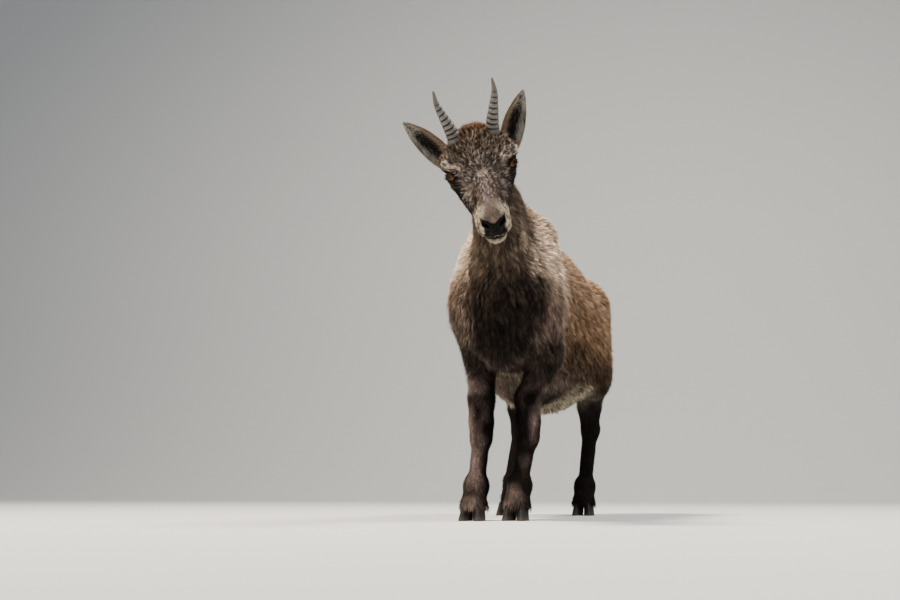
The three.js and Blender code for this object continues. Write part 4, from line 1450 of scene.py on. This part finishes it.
@dataclass
class Coat:
    """The tufts over the skin."""

    skin: Skin
    seed: int = 19
    longest_piece: int = 38000
    random: np.random.Generator = field(init=False)

    def __post_init__(self) -> None:
        """Start the random draws."""
        self.random = np.random.default_rng(self.seed)

    def gaps(self, place: Places, bare: Array) -> Array:
        """Give the distance between roots at each corner of the skin.

        Args:
            place: The skin's corners.
            bare: How bare each is, from 0 to 1.

        Returns:
            One distance for each corner, in millimetres. 0 is bare.
        """
        y, z = place.local[:, 1], place.local[:, 2]
        height = place.points[:, 2]
        gap = mix(2.1, 1.85, place.neck)
        gap = mix(gap, 1.75, place.limbs * fade(height, 190, 330))
        gap = mix(gap, mix(1.3, 1.1, smooth(-y, 60, 100)), place.head)
        gap = mix(gap, 2.0, place.tail)
        hidden = (bare > 0.35) | (height < CORONET_HEIGHT + 0.5)
        for side in (1, -1):
            a, b, c = eye_axes(side, place.local)
            hidden |= (np.hypot(a * 0.62, b) < 8.8) & (c > -2) & (c < 20)
        hidden |= (np.abs(z - mouth_height(y)) < 1.6) & (y < -80) & (place.head > 0.5)
        return np.where(hidden, 0.0, gap)

    def lie(self, place: Places) -> Array:
        """Give the direction in which the hair lies at each root.

        Args:
            place: The roots.

        Returns:
            Directions along the skin, one row each.
        """
        p, n = place.points, place.normals
        x, y, z = p.T
        ax = np.abs(x)
        down = np.zeros_like(p)
        down[:, 1] = mix(0.9, 0.25, smooth(ax, 30, 110) * fade(z, 380, 560))
        down[:, 2] = -mix(0.1, 0.75, smooth(ax, 15, 90))
        haunch = np.array([0.0, 0.35, -0.9]) + np.sign(x)[:, None] * np.array([0.05, 0, 0])
        layers = (
            ((0.0, 0.12, -1.0), smooth(-y, 150, 240) * fade(z, 420, 620)),
            (haunch, smooth(y, 120, 300) * 0.8),
            ((0.0, 1.0, 0.0), smooth(-n[:, 2], 0.3, 0.8) * (1 - place.limbs) * 0.8),
            ((0.0, 0.55, -0.83), place.neck),
            ((0.0, 0.12, -1.0), place.limbs),
            (TAIL_AHEAD + np.array([0, 0.1, 0]), place.tail),
        )
        for direction, share in layers:
            down = blend(down, direction, share)
        whorl = np.array([0.0, -38.0, 8.0])
        out = place.local - whorl
        out[:, 2] *= 0.55
        out[:, 1] += np.where(out[:, 1] > 0, 16.0, -16.0) * (1 - np.exp(-np.abs(out[:, 1]) / 12))
        down = unit(blend(unit(down), POSE.direct(unit(out)), place.head))
        swirl, fine = drift(p, 26, 31), drift(p, 8, 41)
        wild = mix(0.16, 0.34, place.head * smooth(place.local[:, 1], -30, 20))[:, None]
        loose = self.random.normal(0, 0.12, p.shape)
        return flatten(down + swirl * wild + fine * (wild * 1.1) + loose, n)

    def sizes(self, place: Places) -> tuple[Array, Array, Array]:
        """Give the size of the tuft at each root.

        Args:
            place: The roots.

        Returns:
            The lengths and the widths in millimetres, and how steeply the tufts rise.
        """
        p, n = place.points, place.normals
        x, y, z = place.local.T
        legs = place.limbs * fade(p[:, 2], 190, 330)
        hem = fade(p[:, 2], 36, 54)
        crown = fade(np.abs(x), 22, 34) * smooth(y, 28, 44) * smooth(z, 20, 34)
        face = mix(mix(7.5, 3.4, smooth(-y, 55, 100)), 11.0, smooth(y, 10, 60))
        face = mix(mix(face, 11.0, smooth(-z, 40, 80) * fade(-y, 60, 90)), 10.0, crown)
        length = mix(mix(17.0, 15.0, place.neck), 21.0, smooth(-n[:, 2], 0.4, 0.9) * (1 - legs))
        length = mix(length, mix(mix(8.0, 10.0, smooth(n[:, 1], 0.2, 0.8)), 19.0, hem), legs)
        length = mix(length, face, place.head)
        length = mix(length, mix(20.0, 30.0, smooth(TAIL_ROOT[2] - p[:, 2], 10, 70)), place.tail)
        width = mix(mix(1.9, 1.6, place.neck), 1.25, legs)
        width = mix(mix(width, mix(1.15, 0.8, smooth(-y, 50, 90)), place.head), 2.0, place.tail)
        degrees = mix(20.0, mix(12.0, 7.0, hem), legs)
        degrees = mix(degrees, mix(mix(17.0, 22.0, smooth(y, 0, 40)), 28.0, crown), place.head)
        degrees = mix(degrees, 14.0, place.tail)
        varied = 1 + 0.2 * noise(p, 15, 51) + self.random.normal(0, 0.12, len(p))
        raised = 1 + self.random.normal(0, 0.3, len(p))
        return length * np.clip(varied, 0.55, 1.5), width, np.radians(degrees) * np.clip(raised, 0.3, 1.9)

    def gather(
        self, tufts: Tufts, size: float, strength: Array, contrast: Array, seed: int, stretch: float
    ) -> None:
        """Lean the tufts of each small clump towards its middle, as damp or windblown hair stands, and paint
        shade into the gaps between clumps.

        Args:
            tufts: The tufts, whose lie and colour change.
            size: How far apart the clumps are, in millimetres.
            strength: How far each tuft leans.
            contrast: How much the clumps differ in tone, and how dark the painted shade at their edges is, at
                each tuft.
            seed: Which clumps.
            stretch: How much longer than wide the clumps are, from 0 to 1.
        """
        p = tufts.roots
        base = np.floor(p / size).astype(np.int64)
        best, second = np.full((2, len(p)), np.inf)
        centre = np.zeros_like(p)
        shade = np.zeros(len(p))
        for step in np.ndindex(3, 3, 3):
            cell = base + np.array(step) - 1
            jitter = np.stack([hashed(cell, seed + n) for n in range(3)], axis=1)
            spot = (cell + jitter) * size
            off = p - spot
            far = np.sum(off**2, axis=1) - stretch * np.sum(off * tufts.lie, axis=1) ** 2
            closer = far < best
            second = np.where(closer, best, np.minimum(second, far))
            best = np.where(closer, far, best)
            centre[closer] = spot[closer]
            shade = np.where(closer, hashed(cell, seed + 3), shade)
        length = tufts.length[:, None]
        pull = centre + tufts.lie * length * 0.8 - (p + tufts.lie * length)
        bent = tufts.lie + pull / length * strength[:, None]
        bent = bent + np.cross(tufts.normals, tufts.lie) * ((shade * 7.3 % 1 - 0.5) * 1.6 * strength)[:, None]
        tufts.lie = flatten(bent, tufts.normals)
        near, next_near = np.sqrt(np.maximum(best, 0)), np.sqrt(np.maximum(second, 0))
        inner = np.clip((next_near - near) / (0.5 * size), 0, 1)
        # Each clump has its own random tone, and tufts near a clump's edge are darkened as painted shade in
        # the gaps between clumps.
        tone_and_gap_shade = 0.8 * (shade - 0.5) + 1.2 * (inner - 0.45)
        tufts.colour = tufts.colour * np.clip(1 + contrast * tone_and_gap_shade, 0.12, 2.2)[:, None]
        tufts.lift = tufts.lift * (1 + strength * (inner - 0.4))

    def build(self, material: bpy.types.Material) -> None:
        """Make the whole coat in pieces."""
        skin = self.skin
        place = Places(skin.vertices, skin.normals)
        gap = self.gaps(place, skin.bare)
        roots, out = sample(skin.vertices, skin.faces, skin.normals, gap, self.random)
        place = Places(roots, out)
        length, width, lift = self.sizes(place)
        colour = MARKINGS.colour(place)
        grizzle = self.random.normal(1, mix(0.13, 0.24, place.head), len(roots))
        colour = colour * np.clip(grizzle, 0.45, 1.7)[:, None]
        tufts = Tufts(roots, out, self.lie(place), length, width, lift, colour, unwrap(place))
        calm = np.clip(place.head + place.limbs, 0, 1)
        self.gather(tufts, 10.0, mix(0.4, 0.12, calm), mix(1.05, 0.25, calm), 61, 0.7)
        curls = place.head * fade(-place.local[:, 1], 78, 104) * smooth(place.local[:, 2], -44, -10)
        self.gather(tufts, 4.8, curls * 0.6, curls * 2.9 + (1 - place.head) * 0.65, 71, 0.84)
        head, neck, tail, low = (part > 0.5 for part in (place.head, place.neck, place.tail, place.limbs))
        rest = ~(head | neck | tail)
        parts = (
            ("coat_head", head, "face_coat"),
            ("coat_neck", neck & ~head, "neck_coat"),
            ("coat_tail", tail, "dark_coat"),
            ("coat_legs", rest & low, "dark_coat"),
            ("coat_body", rest & ~low, "body_coat"),
        )
        for name, mine, slot in parts:
            chosen = np.flatnonzero(mine)
            chosen = chosen[np.argsort(roots[chosen, 1], kind="stable")]
            pieces = max(1, math.ceil(len(chosen) / self.longest_piece))
            for number, share in enumerate(np.array_split(chosen, pieces), 1):
                tufts.pick(share).build(f"{name}_{number}", material, slot)
            LOG.info("%s: %d tufts in %d pieces", name, len(chosen), pieces)
        LOG.info("coat: %d tufts, %d triangles", len(roots), len(roots) * 5)


# Horns, ears, eyes and claws


def centripetal(points: Array, samples: int) -> tuple[Array, Array]:
    """Run a smooth curve through points and walk along it in even steps.

    Args:
        points: The points, one row each.
        samples: How many places to give.

    Returns:
        The places and the directions there.
    """
    ends = np.vstack([2 * points[0] - points[1], points, 2 * points[-1] - points[-2]])
    dense = []
    for n in range(len(points) - 1):
        p0, p1, p2, p3 = ends[n : n + 4]
        d0, d1, d2 = (math.sqrt(np.linalg.norm(b - a)) for a, b in ((p0, p1), (p1, p2), (p2, p3)))
        t1 = ((p1 - p0) / d0 - (p2 - p0) / (d0 + d1) + (p2 - p1) / d1) * d1
        t2 = ((p2 - p1) / d1 - (p3 - p1) / (d1 + d2) + (p3 - p2) / d2) * d1
        t = np.linspace(0, 1, 60, endpoint=n == len(points) - 2)[:, None]
        bent = (-3 * p1 + 3 * p2 - 2 * t1 - t2) * t**2 + (2 * p1 - 2 * p2 + t1 + t2) * t**3
        dense.append(p1 + t1 * t + bent)
    line = np.vstack(dense)
    along = np.concatenate([[0], np.cumsum(np.linalg.norm(np.diff(line, axis=0), axis=1))])
    even = np.linspace(0, along[-1], samples)
    places = np.stack([np.interp(even, along, line[:, n]) for n in range(3)], axis=1)
    return places, unit(np.gradient(places, axis=0))


def globe(radii: Point | tuple[Array, Array, Array], rows: int, sides: int) -> Array:
    """Lay corners over a ball that is stretched along its three axes, in rings from top to bottom."""
    polar = np.linspace(0, math.pi, rows)[:, None]
    around = np.linspace(0, 2 * math.pi, sides, endpoint=False)[None]
    shape = (np.sin(polar) * np.cos(around), np.sin(polar) * np.sin(around), np.cos(polar) + 0 * around)
    return np.stack([radius * part for radius, part in zip(radii, shape)], axis=-1).reshape(-1, 3)


HORN_PATH = ((34, 46, 30), (37, 54, 48), (45, 66, 74), (53, 81, 98), (54, 98, 117))


@dataclass
class Horn:
    """One short, ringed horn."""

    side: int
    rows: int = 200
    sides: int = 40
    ridge: str = "#736d67"
    groove: str = "#0c0a09"
    tip: str = "#61594f"
    brown: str = "#40372f"

    def build(self, material: bpy.types.Material) -> bpy.types.Object:
        """Make the horn: round ridges with deep grooves painted dark as shade, dying out towards a smooth
        tip.
        """
        path = np.array([[self.side * x, y, z] for x, y, z in HORN_PATH], float)
        centre, ahead = centripetal(path, self.rows)
        across = unit(np.array([1.0, 0, 0]) - ahead * ahead[:, :1])
        up = np.cross(ahead, across)
        along = np.linspace(0, 1, self.rows)[:, None]
        angle = np.linspace(0, 2 * math.pi, self.sides, endpoint=False)[None]
        wave = along * HORN_RINGS * 1.28 + 0.05 * np.sin(angle + along * 9)
        ringed = smooth(along, 0.08, 0.16) * fade(along, 0.66, 0.86)
        ring = 1 - np.abs(np.cos(wave * math.pi)) ** 0.55
        depth = ringed * (ring * 0.2) * mix(1.0, 0.6, along)
        rounding = np.maximum(along - 0.985, 0) / 0.0151
        radius = mix(HORN_RADIUS, 2.0, along**1.3) * (1 + ringed * 0.035 - depth)
        radius = (radius * np.sqrt(np.maximum(1 - rounding**2, 0)))[..., None]
        spoke = across[:, None] * 0.92 * np.cos(angle)[..., None]
        spoke = spoke + up[:, None] * np.sin(angle)[..., None]
        points = (centre[:, None] + radius * spoke).reshape(-1, 3)
        name = side_name(self.side)
        faces = grid_faces(self.rows, self.sides)[:, ::-1]
        piece = make_mesh(f"horn_{name}_sheath", to_frame(POSE.place(points)), faces, material)
        # Painted shade: the grooves between the rings are darkened towards near black, most near the base.
        groove_shade = np.clip(ringed * smooth(ring, 0.1, 0.62) * mix(2.1, 0.7, along), 0, 1)[..., None]
        shade = mix(linear(self.ridge), linear(self.tip), smooth(along, 0.5, 0.95)[..., None])
        shade = mix(shade, linear(self.brown), smooth(1 - along, 0.55, 0.95)[..., None] * 0.6)
        colours = mix(shade, linear(self.groove), groove_shade).reshape(-1, 3)
        streak = 1 + 0.16 * noise(points * np.array([1.0, 1.0, 0.3]), 2.2, 71)
        paint(piece, "Coat", colours * streak[:, None])
        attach(piece, "root")
        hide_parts(f"horn_{name}")
        return piece


EAR_BASE = np.array([60.0, 56.0, -6.0])
EAR_AHEAD = {1: unit(np.array([0.41, 0.69, 0.55])), -1: unit(np.array([-0.53, 0.65, 0.46]))}
EAR_SUNK = 14.0


@dataclass
class Ear:
    """One ear: a cupped leaf, short-haired outside and dark inside, with long pale hair from its rims."""

    side: int
    rows: int = 72
    sides: int = 56
    skin_outside: str = "#8f6f50"
    skin_inside: str = "#3c3631"
    skin_hollow_shade: str = "#0e0c0b"
    skin_rim: str = "#5d4c3e"
    tan: str = "#86725e"
    pale: str = "#a29c91"
    dark: str = "#15110f"
    brown: str = "#33281f"
    edge: str = "#5b4636"
    base: Array = field(init=False)
    ahead: Array = field(init=False)
    open: Array = field(init=False)
    across: Array = field(init=False)

    def __post_init__(self) -> None:
        """Work out the ear's place and axes in the head's frame: to its tip, out of its cup, across."""
        self.base = EAR_BASE * (self.side, 1, 1)
        self.ahead = EAR_AHEAD[self.side]
        facing = np.array([self.side * 0.3, -0.72, 0.62])
        self.open = unit(facing - self.ahead * (facing @ self.ahead))
        self.across = np.cross(self.ahead, self.open)

    def leaf(self, along: Array) -> Array:
        """Give the ear's half width at each height, as a share of its widest."""
        return np.maximum(np.sin(math.pi * (along * 0.77 + 0.22)), 1e-4) ** 0.68

    def shape(self) -> tuple[Array, Array, Array]:
        """Work out the ear's corners.

        Returns:
            The corners in the head's frame, and how far up and how far round each is, from 0 to 1.
        """
        along = np.linspace(0, 1, self.rows)[:, None]
        turned = np.linspace(0, 1, self.sides, endpoint=False)[None]
        leaf = self.leaf(along)
        half = np.maximum(EAR_HALF_WIDTH * leaf, 10 * (1 - along * 2)) - 0.9
        outer = mix(12.0, 5.0, along) * np.minimum(1, leaf + 0.3) - 0.9
        cup = smooth(along, 0.16, 0.34)
        angle = turned * 2 * math.pi
        back = turned <= 0.5
        depth = np.where(back, -outer, mix(-outer, outer - 2.4, cup)) * np.sin(angle)
        wide = np.where(back, half, mix(half, half - 0.8, cup))
        rim = np.cos(angle)
        end = (along == 0) | (along == 1)
        ripple = 0.7 * np.sin(along * 13 + rim * 2) * np.abs(rim) ** 4
        points = (
            self.base
            + self.ahead * (along * (EAR_LENGTH + EAR_SUNK) - EAR_SUNK)[..., None]
            + self.open * (np.where(end, 0, depth + ripple) + 10 * along**2)[..., None]
            + self.across * np.where(end, 0, wide * rim)[..., None]
        )
        upward, around = np.broadcast_arrays(along, turned)
        return points.reshape(-1, 3), upward.ravel(), around.ravel()

    def build(self, skin: bpy.types.Material, hair: bpy.types.Material, random: np.random.Generator) -> None:
        """Make the ear and its hair.

        Args:
            skin: Finish of the skin.
            hair: Finish of the hair.
            random: Where the draws come from.
        """
        name = side_name(self.side)
        local, upward, turned = self.shape()
        points = POSE.place(local)
        faces = grid_faces(self.rows, self.sides)
        normals = corner_normals(points, faces)
        rings = points.reshape(self.rows, self.sides, 3)
        outward = (rings - rings.mean(axis=1, keepdims=True)).reshape(-1, 3)
        if np.sum(outward * normals) < 0:
            faces, normals = faces[:, ::-1], -normals
        piece = make_mesh(f"ear_{name}_skin", to_frame(points), faces, skin)
        inside = turned > 0.5
        rim = np.abs(np.cos(turned * 2 * math.pi))
        # Painted shade: the middle of the cup is darkened, as the shade deep in its hollow.
        centre = fade(rim, 0.25, 0.8) * smooth(upward, 0.2, 0.35) * fade(upward, 0.7, 0.95)
        inner = mix(linear(self.skin_inside), linear(self.skin_hollow_shade), centre[:, None] * 0.85)
        colours = np.where(inside[:, None], inner, linear(self.skin_outside))
        paint(piece, "Coat", blend(colours, linear(self.skin_rim), smooth(rim, 0.93, 0.99) * 0.7))
        measure(piece, "Bare", np.zeros(len(points)))
        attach(piece, "root")
        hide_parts(f"ear_{name}")
        gap = np.where(inside, mix(2.1, 1.15, smooth(rim, 0.35, 0.8)), 1.2)
        gap = np.where(upward < 0.02, 0, gap)
        roots, out = sample(points, faces, normals, gap, random)
        self.grow(roots, out, random).build(f"coat_ear_{name}", hair, "ear_coat")

    def grow(self, roots: Array, out: Array, random: np.random.Generator) -> Tufts:
        """Cover the ear with short hair, and fill the cup's rims with long pale hair.

        Args:
            roots: The roots of the hair.
            out: The outward directions there.
            random: Where the draws come from.

        Returns:
            The ear's tufts.
        """
        offset = POSE.local(roots) - self.base
        up = np.clip((offset @ self.ahead + EAR_SUNK) / (EAR_LENGTH + EAR_SUNK), 0, 1)
        sideways = offset @ self.across
        reach = np.clip(np.abs(sideways) / np.maximum(EAR_HALF_WIDTH * self.leaf(up), 3), 0, 1)
        in_cup = ((POSE.direct(self.open) * out).sum(axis=1) > 0.05) & (up > 0.18)
        ahead = np.tile(POSE.direct(self.ahead), (len(roots), 1))
        inward = POSE.direct(-np.sign(sideways)[:, None] * self.across[None])
        lie = np.where(in_cup[:, None], ahead * 0.8 + inward * 0.75 * reach[:, None], ahead)
        lie = flatten(lie + random.normal(0, 0.16, lie.shape), out)
        length = np.where(in_cup, mix(7.0, 13.0, reach) * mix(1.1, 0.6, up), 5.0)
        length = length * np.clip(random.normal(1, 0.2, len(up)), 0.5, 1.6)
        lift = np.radians(np.where(in_cup, 17.0, 9.0)) * np.clip(random.normal(1, 0.3, len(up)), 0.3, 1.8)
        streak = noise(np.stack([sideways * 1.6, up * 30, up * 0], axis=1), 4.0, 91)
        crown = np.sign(self.across @ np.array([-self.side, 0.0, 1.0])) * np.sign(sideways) > 0
        frosted = smooth(reach, 0.4, 0.85) * 0.9 + smooth(up, 0.6, 0.85) * 0.8
        brown = smooth(reach + 0.1 * streak, 0.3, 0.5) * crown * fade(up, 0.45, 0.75)
        back = smooth(reach + 0.35 * (1 - up), 0.78, 0.92) * crown
        tan = linear(self.tan)
        cup_colour = mix(linear(self.dark), linear(self.pale), np.clip(frosted + 0.5 * streak, 0, 1)[:, None])
        cup_colour = blend(blend(cup_colour, linear(self.brown), brown * 0.85), tan, back)
        colour = np.where(in_cup[:, None], cup_colour, tan)
        colour = blend(colour, linear(self.edge), smooth(reach, 0.93, 1.0) * ~in_cup * 0.5)
        colour = colour * np.clip(random.normal(1, 0.16, len(up)), 0.5, 1.6)[:, None]
        left, low, wide, high = Sheet.EARS.value
        u = left + wide * (0.25 + 0.5 * (self.side < 0) + 0.22 * np.clip(sideways / 22, -1, 1))
        v = low + high * (0.48 * up + 0.5 * in_cup)
        width = np.where(in_cup, 0.7, 1.0)
        return Tufts(roots, out, lie, length, width, lift, colour, np.stack([u, v], axis=1))


@dataclass
class Eye:
    """One eyeball, with its iris and pupil painted under a bulging cornea."""

    side: int
    rows: int = 72
    sides: int = 72

    def build(self, finish: EyeFinish, material: bpy.types.Material) -> bpy.types.Object:
        """Make the eye.

        Args:
            finish: Its colours.
            material: The material made from them.

        Returns:
            The eye.
        """
        middle, axes = eye_frame(self.side)
        polar = np.linspace(0, math.pi, self.rows)[:, None]
        radius = EYE_RADIUS - 0.5 + 1.1 * np.exp(-((polar / 0.52) ** 4))
        flat = globe((radius, radius, radius), self.rows, self.sides)
        faces = grid_faces(self.rows, self.sides)
        if self.side < 0:
            faces = faces[:, ::-1]
        name = side_name(self.side)
        piece = make_mesh(f"eyeball_{name}", to_frame(POSE.place(middle + flat @ axes)), faces, material)
        a, b, c = flat.T
        far = np.hypot(a, b)
        spokes = noise(np.stack([np.arctan2(b, a) * 9, far * 0.25, far * 0], axis=1), 0.5, 81)
        iris = linear(finish.iris) * (1 + 0.45 * spokes)[:, None] * mix(0.75, 1.2, smooth(far, 3, 8))[:, None]
        colours = blend(iris, linear(finish.rim), smooth(far, 8.2, 9.6))
        bar = np.hypot(np.maximum(np.abs(a) - 2.4, 0), np.maximum(np.abs(b) - 1.2, 0))
        colours = blend(colours, linear(finish.pupil), fade(bar, 1.4, 2.4))
        paint(piece, "Coat", np.where((c > 0)[:, None], colours, linear(finish.rim)))
        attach(piece, "root")
        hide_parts(f"eye_{name}")
        return piece


@dataclass
class Claws:
    """The eight claws and the eight dewclaws. Voxel and foot are in metres."""

    voxel: float = 0.0013
    foot: float = 0.0012
    dewclaw_radii: Point = (6.0, 7.5, 11.5)
    dewclaw_rows: int = 24

    def hoof(self, node: str, material: bpy.types.Material) -> bpy.types.Object:
        """Round off one claw's solid without changing where it stands.

        Args:
            node: The claw's node.
            material: Its finish.

        Returns:
            The finished claw, whose lowest corners are pressed flat to the floor.
        """
        piece = bpy.data.objects.new(f"{node}_wall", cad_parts[node].data.copy())
        bpy.context.scene.collection.objects.link(piece)
        piece.data.materials.clear()
        piece.data.materials.append(material)
        remesh = piece.modifiers.new("Even", "REMESH")
        remesh.mode, remesh.voxel_size, remesh.use_smooth_shade = "VOXEL", self.voxel, True
        ease = piece.modifiers.new("Ease", "SMOOTH")
        ease.iterations, ease.factor = 6, 0.5
        evaluated = piece.evaluated_get(bpy.context.evaluated_depsgraph_get())
        shape = bpy.data.meshes.new_from_object(evaluated)
        piece.modifiers.clear()
        piece.data = shape
        points = np.empty(len(shape.vertices) * 3, np.float32)
        shape.vertices.foreach_get("co", points)
        points[2::3] = np.where(points[2::3] < self.foot, 0.0, points[2::3])
        shape.vertices.foreach_set("co", points)
        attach(piece, "root")
        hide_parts(node)
        return piece

    def dewclaw(self, leg: Leg, side: int, material: bpy.types.Material) -> bpy.types.Object:
        """Make one small blunt claw behind the fetlock.

        Args:
            leg: The leg that it is on.
            side: 1 for the leg's left side, -1 for its right.
            material: Its finish.

        Returns:
            The dewclaw.
        """
        x, y, z = leg.joints()["fetlock"]
        shape = globe(self.dewclaw_radii, self.dewclaw_rows, self.dewclaw_rows)
        shape[:, 0] *= mix(1.0, 0.72, smooth(-shape[:, 2], 0, 11))
        points = shape @ turn((1, 0, 0), 28).T + np.array([x + side * 11, y + 22, z - 12])
        name = f"dewclaw_{leg.name}_{'outer' if side == leg.side else 'inner'}"
        faces = grid_faces(self.dewclaw_rows, self.dewclaw_rows)[:, ::-1]
        piece = make_mesh(name, to_frame(points), faces, material)
        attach(piece, "root")
        return piece

    def build(self, material: bpy.types.Material) -> None:
        """Make all the claws."""
        for leg in LEGS:
            for which in ("outer", "inner"):
                self.hoof(f"hoof_{leg.name}_{which}", material)
            for side in (1, -1):
                self.dewclaw(leg, side, material)


# Studio


@dataclass(frozen=True)
class Lamp:
    """A soft square light: its place and size in metres, its power in watts and its colour."""

    name: str
    place: Point
    power: float
    size: float
    colour: str

    def build(self) -> None:
        """Add the light, looking at the middle of the animal."""
        data = bpy.data.lights.new(self.name, "AREA")
        data.energy, data.size = self.power, self.size
        data.color = tuple(linear(self.colour))
        lamp = bpy.data.objects.new(self.name, data)
        lamp.location = self.place
        lamp.rotation_euler = (Vector((0, 0, 0.4)) - Vector(self.place)).to_track_quat("-Z", "Y").to_euler()
        bpy.context.scene.collection.objects.link(lamp)


@dataclass(frozen=True)
class Studio:
    """The pale floor, the soft light and the camera, whose place is in the plan's millimetres."""

    paper: str = "#dfe2e4"
    sky: str = "#dfe6ee"
    sky_strength: float = 0.28
    camera_place: Point = (492.3, -2302.8, 60.0)
    camera_up_degrees: float = 9.65
    camera_turn_degrees: float = 15.9
    focal_mm: float = 44.5
    sensor_mm: float = 36.0
    lamps: tuple[Lamp, ...] = (
        Lamp("key", (-1.2, -0.9, 3.4), 280.0, 0.8, "#fff1dc"),
        Lamp("fill", (1.6, -3.0, 1.2), 14.0, 2.2, "#e8efff"),
        Lamp("back", (1.7, 0.3, 3.4), 125.0, 1.0, "#fff6ea"),
    )

    def floor(self) -> None:
        """Make the pale floor, which sweeps up behind."""
        bend, start = 1.6, 3.2
        profile = [(-6.0, 0.0), (start, 0.0)]
        for step in range(1, 13):
            angle = math.radians(step * 7.5)
            profile.append((start + bend * math.sin(angle), bend - bend * math.cos(angle)))
        profile.append((start + bend, 9.0))
        points = np.array([(x, y, z) for y, z in profile for x in (-9.0, 9.0)])
        faces = np.array([[2 * n, 2 * n + 1, 2 * n + 3, 2 * n + 2] for n in range(len(profile) - 1)])
        values = {"Base Color": (*linear(self.paper), 1.0), "Roughness": 0.95}
        make_mesh("studio_floor", points, faces, new_material("studio_paper", values)[0])

    def camera(self) -> None:
        """Stand the camera where the photograph was taken from, low and in front."""
        data = bpy.data.cameras.new("camera")
        data.sensor_width, data.lens = self.sensor_mm, self.focal_mm
        eye = bpy.data.objects.new("camera", data)
        eye.location = tuple((np.array(self.camera_place) + SHIFT) * MM)
        turned = (math.radians(90 + self.camera_up_degrees), 0.0, math.radians(self.camera_turn_degrees))
        eye.rotation_euler = turned
        bpy.context.scene.collection.objects.link(eye)
        bpy.context.scene.camera = eye

    def build(self) -> None:
        """Set up the studio."""
        self.floor()
        self.camera()
        for lamp in self.lamps:
            lamp.build()
        world = bpy.data.worlds.new("studio")
        world.use_nodes = True
        background = world.node_tree.nodes["Background"]
        background.inputs["Color"].default_value = (*linear(self.sky), 1.0)
        background.inputs["Strength"].default_value = self.sky_strength
        bpy.context.scene.world = world


def main() -> None:
    """Build every piece in order."""
    logging.basicConfig(level=logging.INFO, format="%(message)s")
    Studio().build()
    hair = FurFinish().make()
    skin_material = SkinFinish().make()
    skin = Skin()
    skin.build(skin_material)
    LOG.info("skin: %d faces", len(skin.faces))
    Coat(skin).build(hair)
    random = np.random.default_rng(5)
    horn = HornFinish().make()
    wet = EyeFinish()
    eye = wet.make()
    for side in (1, -1):
        Horn(side).build(horn)
        Ear(side).build(skin_material, hair, random)
        Eye(side).build(wet, eye)
    Claws().build(HoofFinish().make())
    LOG.info("horns, ears, eyes and claws are on")


if __name__ == "__main__":
    main()
